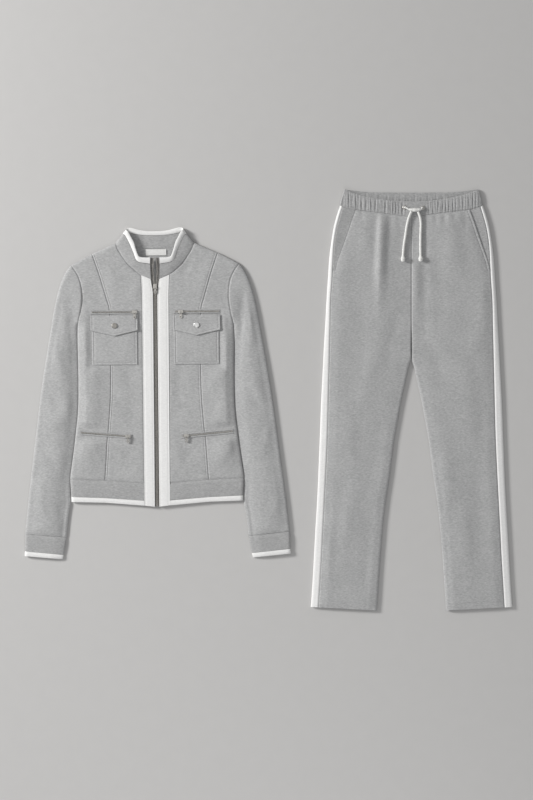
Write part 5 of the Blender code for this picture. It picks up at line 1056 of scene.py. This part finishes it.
# Soft folds of the front legs, left and right each in sizes of their own
legCreases = {
    "Left": [
        {"start": (-74, 462), "end": (-80, 196), "width": 20, "depth": 4.6, "bow": -3, "steep": 0.32, "open": 0.35},
        {"start": (-52, 452), "end": (-62, 214), "width": 8, "depth": -1.5, "bow": -3, "open": 0.4},
        {"start": (-34, 455), "end": (-22, 372), "width": 5, "depth": -1.5, "bow": 2, "open": 0.6},
        {"start": (-27, 450), "end": (-14, 330), "width": 10, "depth": 1.1, "bow": 3, "open": 0.5},
        {"start": (-124, 470), "end": (-121, 428), "width": 6, "depth": -1.3, "bow": 1, "open": 0.6},
        {"start": (-141, 470), "end": (-149, 440), "width": 6, "depth": -1.1, "bow": 1, "open": 0.6},
        {"start": (-104, 462), "end": (-108, 330), "width": 18, "depth": 1.3, "bow": -4, "open": 0.4},
        {"start": (-150, 330), "end": (-120, 60), "width": 26, "depth": -1.2, "bow": 12},
        {"start": (-70, 190), "end": (-122, -60), "width": 26, "depth": 1.5, "bow": -10, "steep": 0.7},
        {"start": (-16, 250), "end": (-64, 50), "width": 15, "depth": -1.0, "bow": -8},
        {"start": (-170, 40), "end": (-150, -210), "width": 20, "depth": 1.1, "bow": 8, "steep": 1.5},
        {"start": (-76, -20), "end": (-108, -260), "width": 20, "depth": -1.1, "bow": 7},
        {"start": (-130, -150), "end": (-166, -430), "width": 26, "depth": 1.6, "bow": -8, "steep": 0.6},
        {"start": (-96, -260), "end": (-124, -505), "width": 18, "depth": -1.2, "bow": 5, "open": 0.3},
        {"start": (-196, -300), "end": (-214, -500), "width": 15, "depth": 1.0, "bow": -4, "open": 0.3},
    ],
    "Right": [
        {"start": (4, 456), "end": (7, 100), "width": 12, "depth": 1.7, "bow": 5, "steep": 1.0, "open": 0.3},
        {"start": (26, 440), "end": (31, 120), "width": 10, "depth": -1.3, "bow": 4, "open": 0.3},
        {"start": (59, 456), "end": (58, 420), "width": 5, "depth": -1.4, "bow": 1, "open": 0.7},
        {"start": (80, 458), "end": (78, 416), "width": 6, "depth": -1.5, "bow": 1, "open": 0.7},
        {"start": (105, 462), "end": (104, 428), "width": 6, "depth": -1.3, "bow": -1, "open": 0.7},
        {"start": (129, 466), "end": (132, 410), "width": 7, "depth": -1.5, "bow": 2, "open": 0.6},
        {"start": (156, 468), "end": (160, 434), "width": 5, "depth": -1.2, "bow": 1, "open": 0.6},
        {"start": (92, 462), "end": (108, 270), "width": 20, "depth": 1.5, "bow": 6, "steep": 1.5, "open": 0.4},
        {"start": (64, 420), "end": (80, 180), "width": 20, "depth": -1.2, "bow": -6},
        {"start": (168, 320), "end": (150, 90), "width": 22, "depth": 1.2, "bow": 9},
        {"start": (20, 190), "end": (84, 10), "width": 16, "depth": -1.2, "bow": 8},
        {"start": (110, 150), "end": (140, -110), "width": 28, "depth": 1.6, "bow": 9, "steep": 1.4},
        {"start": (188, 60), "end": (176, -180), "width": 18, "depth": -1.1, "bow": -6},
        {"start": (84, -50), "end": (100, -290), "width": 18, "depth": 1.2, "bow": -6},
        {"start": (150, -120), "end": (174, -400), "width": 24, "depth": -1.4, "bow": 7},
        {"start": (120, -250), "end": (136, -505), "width": 20, "depth": 1.5, "bow": 5, "steep": 1.6, "open": 0.3},
        {"start": (212, -260), "end": (222, -500), "width": 14, "depth": 0.9, "bow": 4, "open": 0.3},
    ],
}
seatCreases = [
    {"start": (-90, 440), "end": (-60, 250), "width": 22, "depth": 1.3, "bow": 9},
    {"start": (96, 430), "end": (52, 260), "width": 24, "depth": 1.2, "bow": -10},
    {"start": (-12, 300), "end": (-90, 120), "width": 15, "depth": 1.3, "bow": 8},
    {"start": (14, 290), "end": (92, 150), "width": 16, "depth": 1.1, "bow": -8},
    {"start": (-130, 60), "end": (-140, -260), "width": 26, "depth": 1.2, "bow": 10},
    {"start": (134, 40), "end": (150, -240), "width": 24, "depth": 1.3, "bow": -9},
    {"start": (-150, -200), "end": (-170, -470), "width": 20, "depth": 1.0, "bow": 7},
    {"start": (146, -230), "end": (160, -480), "width": 22, "depth": 1.1, "bow": -6},
]
cordCalm = {"half": 34.0, "fade": 16.0, "low": 326.0}


def legRelief(x, y, word):
    # the crown spares the strip where the drawstring lies, whose solids are on the flat cloth
    near = np.clip((cordCalm["half"] - np.abs(x)) / cordCalm["fade"], 0, 1)
    near = near * np.clip((y - cordCalm["low"]) / 20, 0, 1)
    folds = creases(x, y, legCreases[word])
    crown = legForm["crown"] * (1 - np.exp(-(np.abs(x) / 46.0) ** 2)) * np.clip((470 - y) / 60, 0, 1)
    return (folds + crown + 0.45 * wander(x, y, 110, 0.4 + len(word))) * (1 - near) + near * np.minimum(folds, 0.0) * 0.6


legMarks = refine([row["inner"] for row in trouserRows], legForm["spacing"])
legMarks = np.unique(np.concatenate([legMarks, 20 + np.linspace(0.74, 1.0, 14)]).round(6))
inner = softCurve(inseamLine)
crotchAt = int(np.searchsorted(legMarks, crotchRow))
legInside = atHeight(inner, rowValues(trouserRows, "inner", legMarks))
legInside[:crotchAt + 1, 0] = seamGap / 2
frontInside = legInside.copy()     # the front seam gapes a little above the crotch
frontInside[:crotchAt + 1, 0] += legForm["gape"] * np.exp(-((legInside[:crotchAt + 1, 1] - legForm["gapeAt"]) / 34.0) ** 2)
stripeLine = atHeight(softCurve(stripeInner), rowValues(trouserRows, "stripe", legMarks))
sideLineLeg = atHeight(softCurve(trouserSide), rowValues(trouserRows, "side", legMarks))
mouthAll = np.array([row["mouth"] for row in trouserRows if row["mouth"]])
mouthMarks = legMarks[legMarks <= mouthCount - 1]
mouthLine = np.column_stack([np.interp(mouthMarks, np.arange(mouthCount), mouthAll[:, k]) for k in (0, 1)])
mouths = len(mouthMarks)
legEdges = [(softCurve(trouserSide), -1), (inner, 1)]
legHeight = trousers["lay"]
inseamRows = np.arange(len(legMarks)) > crotchAt
inseamStitch = np.clip((90 - legInside[:, 1]) / 30, 0, 1)[:, None]
frontReach = besideLine(stripeLine, -seamGap / 2)
frontReach[:mouths] = besideLine(mouthLine, -seamGap / 2)
for word, flip in halves.items():
    plan, dIn, dOut = panelPlan(frontInside, frontReach, rollSteps, stitchIn, legForm["spacing"])
    tip = np.zeros(plan.shape[:2], bool)
    tip[inseamRows, 0] = True
    away = fromEdges(plan.reshape(-1, 2), legEdges)[0].reshape(plan.shape[:2])
    mouthRows = (np.arange(len(plan)) < mouths)[:, None]
    hemUp = plan[..., 1] - plan[-1:, :, 1]
    waistDown = plan[:1, :, 1] - plan[..., 1]
    dips = groove(dOut, 0, 1.0, 0.8) * ~mouthRows + groove(dOut, 5.0, 0.6, 0.4) * mouthRows + 0.5 * np.exp(-(dOut / 3.0) ** 2) * mouthRows
    dips = dips + groove(dIn, 0, 1.1, 1.0) * ~inseamRows[:, None] + groove(dIn, 10.5, 0.9, 0.7) * inseamStitch
    for at in legForm["hemStitch"]:
        dips = dips + groove(hemUp, at, 0.8, 0.35)
    dips = dips + groove(waistDown, 0, 1.6, 0.9)
    relief = legRelief(flip * plan[..., 0], plan[..., 1], word) * np.clip(waistDown / 14 + 0.25, 0, 1) * np.clip(hemUp / 24 + 0.45, 0, 1)
    relief = relief * np.clip(dOut / 22 + 0.1, 0, 1)
    outer, low = layCloth(plan, 1, legEdges, legHeight, tip=tip, relief=relief, groovesIn=dips)
    holdSeam(outer, low, 0, slice(0, crotchAt + 1))
    holdSeam(outer, low, -1)
    clothShell(f"trouserFront{word}", [f"trouser_front_{word.lower()}"], [(outer, low)], looks["heather"],
               trousers, flip, rests=[f"trouserBack{word}"])

    backInside = legInside.copy()
    firstRow = int(np.searchsorted(legMarks, 1.0))
    backInside[:firstRow + 1, 1] = np.interp(legMarks[:firstRow + 1], (0, 1), (471.6, legInside[firstRow, 1]))
    plan, dIn, dOut = panelPlan(backInside, besideLine(stripeLine, -seamGap / 2), rollSteps, seamSteps, 5.5)
    tip = np.zeros(plan.shape[:2], bool)
    tip[inseamRows, 0] = True
    away = fromEdges(plan.reshape(-1, 2), legEdges)[0].reshape(plan.shape[:2])
    hollow = creases(flip * plan[..., 0], plan[..., 1], seatCreases) + 0.4 * wander(flip * plan[..., 0], plan[..., 1], 100, 6.0) + 0.4
    hollow = np.clip(hollow, 0, 1.8) * np.clip(away / 30 - 0.2, 0, 1) * np.clip((plan[..., 1] - plan[-1:, :, 1]) / 40, 0, 1) * np.clip((450 - plan[..., 1]) / 50, 0, 1)
    outer, low = layCloth(plan, -1, legEdges, legHeight, tip=tip)
    outer[..., 2] += hollow
    low[..., 2] += hollow
    holdSeam(outer, low, 0, slice(0, crotchAt + 1))
    holdSeam(outer, low, -1)
    clothShell(f"trouserBack{word}", [f"trouser_back_{word.lower()}"], [(outer, low)], looks["heather"], trousers, flip, rests=["floor"])

    half, dIn, dOut = panelPlan(besideLine(stripeLine, seamGap / 2), sideLineLeg, np.array([0.0, 0.5, 1.2]), rollSteps, 2.0)
    plan = np.hstack([half, half[:, -2::-1]])
    up = np.ones(plan.shape[1])
    up[half.shape[1] - 1] = 0
    up[half.shape[1]:] = -1
    tip = np.zeros(plan.shape[:2], bool)
    tip[:, half.shape[1] - 1] = True
    dips = np.hstack([groove(dIn, 0, 0.9, 0.7) + 0.5 * np.exp(-((dIn - 4) / 3) ** 2), np.zeros((len(half), half.shape[1] - 1))])
    outer, low = layCloth(plan, up, legEdges, legHeight, tip=tip, split=False, groovesIn=dips)
    holdSeam(outer, low, 0)
    holdSeam(outer, low, -1)
    clothShell(f"sideStripe{word}", [f"side_stripe_{word.lower()}"], [(outer, low)], looks["whiteKnit"], trousers, flip, rests=["floor"])

    near, far = besideLine(mouthLine, seamGap / 2), besideLine(stripeLine, -seamGap / 2)[:mouths]
    plan, dIn, dOut = panelPlan(near, far, np.array([0.0, 0.6, 1.4, 2.6]), seamSteps, 3.0)
    wide = np.linalg.norm(far - near, axis=1)[:, None]
    drop = -legForm["pocketDrop"] * (1 - np.clip(dIn / wide, 0, 1) ** 2) * np.clip(wide / 24, 0, 1) + groove(dOut, 0, 1.0, 0.7)
    outer, low = layCloth(plan, 1, legEdges, legHeight, wall=1.4, groovesIn=drop)
    holdSeam(outer, low, 0)
    holdSeam(outer, low, -1)
    clothShell(f"pocketFacing{word}", [f"pocket_facing_{word.lower()}"], [(outer, low)], looks["heatherDeep"],
               trousers, flip, rests=[f"trouserBack{word}"])
print("legs made")

# Waistband: one flat ring. Each gather is a narrow fold of its own place, width and depth.
gatherForm = {"frontDepth": 1.5, "backDepth": 0.9, "spacing": 1.15, "rows": 30, "wall": 1.5, "puff": 1.6}
frontGathers = [-166, -152.4, -145, -134.8, -130, -122.5, -109.5, -98, -88.5, -76.5, -64, -52, -44.5, -37, -29.5, -22,
                34, 38.5, 43, 47, 51.5, 56, 60.5, 65, 71, 77.5, 84, 93, 101, 109.5, 119, 127, 141.5, 150, 158, 166]
backGathers = np.arange(-160, 161, 5.2) + 1.6 * np.sin(np.arange(-160, 161, 5.2) * 0.37)


def gatherWave(x, v, table, seed):
    # troughs at the table's places: each a bell 1.6 to 3 mm wide that leans and fades up the band
    table = np.asarray(table, float)
    k = np.arange(len(table))
    wide = 1.7 + 0.8 * np.abs(np.sin(k * 2.7 + seed))
    deep = 0.55 + 0.45 * np.abs(np.sin(k * 1.9 + seed * 2))
    lean = 2.6 * np.sin(k * 3.3 + seed)
    reach = 0.55 + 0.45 * np.abs(np.sin(k * 4.1 + seed))
    rise = np.zeros(x.shape)
    for place, w, d, slope, top in zip(table, wide, deep, lean, reach):
        rise -= d * np.exp(-((x - place - slope * (v - 0.5)) / w) ** 2) * np.clip(1.25 - np.abs(v - 0.42) / (0.62 * top), 0, 1)
    return rise


halfFront, halfBack = int(165 / gatherForm["spacing"]), int(165 / 1.8)


def waistRow(seam, top, along, count):
    seam, top = np.array(seam), np.array(top)
    edge = np.array([seam[-1], top[-1]])
    edgeX = edge[0, 0] + (edge[1, 0] - edge[0, 0]) * along
    x = np.concatenate([np.linspace(0, edgeX - cloth["roll"], count), edgeX - rollSteps[::-1][1:]])
    low = np.interp(x / edgeX * edge[0, 0], seam[:, 0], seam[:, 1])
    high = np.interp(x / edgeX * edge[1, 0], top[:, 0], top[:, 1])
    return np.column_stack([x, low + (high - low) * along])


outers, inners = [], []
for along in np.linspace(0, 1, gatherForm["rows"]):
    front = waistRow(waist["front_seam"], waist["front_top"], along, halfFront)
    back = waistRow(waist["back_seam"], waist["back_top"], along, halfBack)
    front = np.vstack([front[:0:-1] * (-1, 1), front])
    back = np.vstack([back[-2::-1], (back[1:] * (-1, 1))[:-1]])
    plan = np.vstack([front, back])[None]
    up = np.ones(plan.shape[1])
    up[len(front):] = -1
    up[[0, len(front) - 1]] = 0
    outer, low = layCloth(plan, up, legEdges, legHeight, gatherForm["wall"], (up == 0)[None], split=False)
    away = fromEdges(plan[0], legEdges)[0][None]
    flat = np.clip((away - 4) / 8, 0, 1)
    ends = math.sin(math.pi * min(max(along * 0.86 + 0.1, 0), 1)) ** 0.7
    wave = gatherForm["frontDepth"] * gatherWave(plan[..., 0], along, frontGathers, 0.8)
    wave = wave + 0.35 * np.sin(plan[..., 0] * 0.9 + 2 * np.sin(plan[..., 0] * 0.13)) * np.clip((np.abs(plan[..., 0] - 8) - 16) / 14, 0, 1)
    behind = gatherForm["backDepth"] * gatherWave(plan[..., 0], along, backGathers, 2.2)
    swell = gatherForm["puff"] * ends * np.clip((np.abs(plan[..., 0] - 5) - 26) / 30, 0, 1)
    seamDips = groove(along * 37.0, 5.6, 0.9, 0.5) + groove(along * 37.0, 0, 1.6, 0.8) + groove((1 - along) * 37.0, 0, 1.2, 0.7)
    outer[..., 2] += (wave * (0.35 + 0.65 * ends) + swell) * flat * (up > 0) + seamDips * (up > 0)
    low[..., 2] += (0.5 * wave + swell) * flat * (up > 0)
    low[..., 2] += (0.9 + behind) * flat * ends * (up < 0)
    outers.append(outer)
    inners.append(low)
waistGrid = (np.vstack(outers), np.vstack(inners))
clothShell("gatheredWaistband", ["waistband"], [waistGrid], looks["heatherDeep"], trousers, loop=True, held="gathered", ease=1.3, rests=["floor"])
print("waistband made")


# drawstring
drawstring = {"radius": 3.0, "knotRadius": 4.6, "inEyelet": 2.0, "bend": 2.4, "clear": 0.45, "fromKnot": 24.0, "around": 20, "strand": 0.22}
eyelets = {"Left": (-17.6, 470.0), "Right": (27.7, 469.0)}
eyelet = {"outer": 5.0, "hole": 2.4, "rise": 1.6}
onBand = 7.3


def tubeAlong(name, nodes, route, radii, look, garment, strand=0.0, body="garments"):
    # rings set square to the route; the radius swells where the braid's strands cross
    route, radii = np.array(route, float), np.array(radii, float)
    run = np.gradient(route, axis=0)
    run /= np.linalg.norm(run, axis=1)[:, None]
    side = np.cross(run, (0.0, 0.0, 1.0))
    flat = np.linalg.norm(side, axis=1)
    side[flat < 0.25] = (0.0, 1.0, 0.0)
    for k in range(1, len(side)):
        if side[k] @ side[k - 1] < 0:
            side[k] = -side[k]
    side -= (side * run).sum(1)[:, None] * run
    side /= np.linalg.norm(side, axis=1)[:, None]
    over = np.cross(side, run)
    span = np.concatenate([[0], np.cumsum(np.linalg.norm(np.diff(route, axis=0), axis=1))])
    angle = np.linspace(0, 2 * np.pi, drawstring["around"], endpoint=False)
    braid = strand * np.abs(np.sin(angle[None] * 2 + span[:, None] * 1.1)) * np.abs(np.sin(angle[None] * 2 - span[:, None] * 1.1))
    r = radii[:, None] - strand * 0.5 + braid * 2
    points = route[:, None] + r[..., None] * (np.cos(angle)[None, :, None] * side[:, None] + np.sin(angle)[None, :, None] * over[:, None])
    rows, cols = len(route), len(angle)
    index = np.arange(rows * cols).reshape(rows, cols)
    index = np.hstack([index, index[:, :1]])
    quads = np.stack([index[:-1, :-1], index[1:, :-1], index[1:, 1:], index[:-1, 1:]], -1).reshape(-1, 4).tolist()
    quads += [index[0, :-1].tolist(), index[-1, :-1][::-1].tolist()]
    uv = np.column_stack([np.tile(angle / (2 * np.pi) * 0.0189, rows), np.repeat(span * mm, cols)])
    return finishPiece(name, toSet(points.reshape(-1, 3), garment), quads, look, nodes, body, sharp=80, uv=uv)


barZ = onBand + drawstring["knotRadius"]
turnZ = onBand + eyelet["rise"] + cloth["seam"] + drawstring["inEyelet"] - drawstring["bend"]
arc = np.radians(np.linspace(0, 90, 6))
ends = []
for word, way in (("Left", 1), ("Right", -1)):
    ex, ey = eyelets[word]
    ends.append([(ex, ey, onBand + 0.3)] + [
        (ex + way * drawstring["bend"] * (1 - math.cos(t)), ey, turnZ + drawstring["bend"] * math.sin(t)) for t in arc])
share = np.linspace(-1, 1, 25)
middleRun = np.column_stack([8.0 + 15.5 * share, 463.4 + 2.0 * share ** 2, np.full(25, barZ)])
thick = drawstring["knotRadius"] - drawstring["inEyelet"]
thin = [drawstring["inEyelet"]] * len(ends[0])
lumps = 0.25 * np.cos(share * 9.0)
knotRadii = drawstring["inEyelet"] + thick * np.cos(share * np.pi / 2) ** 0.8 + lumps * np.cos(share * np.pi / 2)
tubeAlong("drawstringKnot", ["drawstring_knot"], np.vstack([ends[0], middleRun, ends[1][::-1]]),
          [*thin, *knotRadii, *thin], looks["cordBraid"], trousers, drawstring["strand"])
for word, place in eyelets.items():
    profile = [(eyelet["hole"], 0.0), (eyelet["outer"], 0.0), (eyelet["outer"] - 0.1, 0.5), (4.5, 1.1),
               (3.9, 1.5), (3.3, 1.6), (2.8, 1.35), (2.5, 0.8)]
    lathe(f"eyelet{word}", [f"eyelet_{word.lower()}"], profile, (*place, onBand), trousers, looks["nickel"], ring=True, around=40)

for word, points in cordRoutes.items():
    title = word.capitalize()
    line = softCurve(points, 12)
    down = np.clip((line[0, 1] - line[:, 1]) / drawstring["fromKnot"], 0, 1)
    wave = 0.5 * np.sin(line[:, 1] * 0.07 + len(word))
    height = (legHeight + drawstring["clear"] + drawstring["radius"] + 0.35 + 0.25 * wave) * down + barZ * (1 - down)
    route = np.column_stack([line, height])
    keep = line[:, 1] > line[-1, 1] + 9.0
    tail = route[keep]
    piece = tubeAlong(f"drawstring{title}", [f"drawstring_{word}"], tail, np.full(len(tail), 2.95),
                      looks["cordBraid"], trousers, drawstring["strand"])
    v = np.linspace(-1, 1, 22)
    at = route[~keep]
    start, stop = tail[-1], route[-1] - (0, 1.5, 0)
    knotLine = start + (stop - start) * (v[:, None] + 1) / 2
    knotLine[:, 2] += 2.2 * (1 - v ** 2)
    ball = 2.9 + 2.5 * np.clip(1 - v ** 2, 0, 1) ** 0.6 + 0.35 * np.cos(v * 7 + 1)
    ball[0], ball[-1] = 2.4, 1.6
    knot = tubeAlong(f"cordKnot{title}", [], knotLine, ball, looks["cordBraid"], trousers, 0.3)
print("drawstring made")

# hardware that stays as the solids have it, in its own metal
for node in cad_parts:
    if node.endswith("_slider") or node.endswith("_pull"):
        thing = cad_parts[node]
        for k in range(len(thing.material_slots)):
            thing.material_slots[k].link = "OBJECT"
            thing.material_slots[k].material = looks["nickel"]

print("sheets declared:", len(sheets))
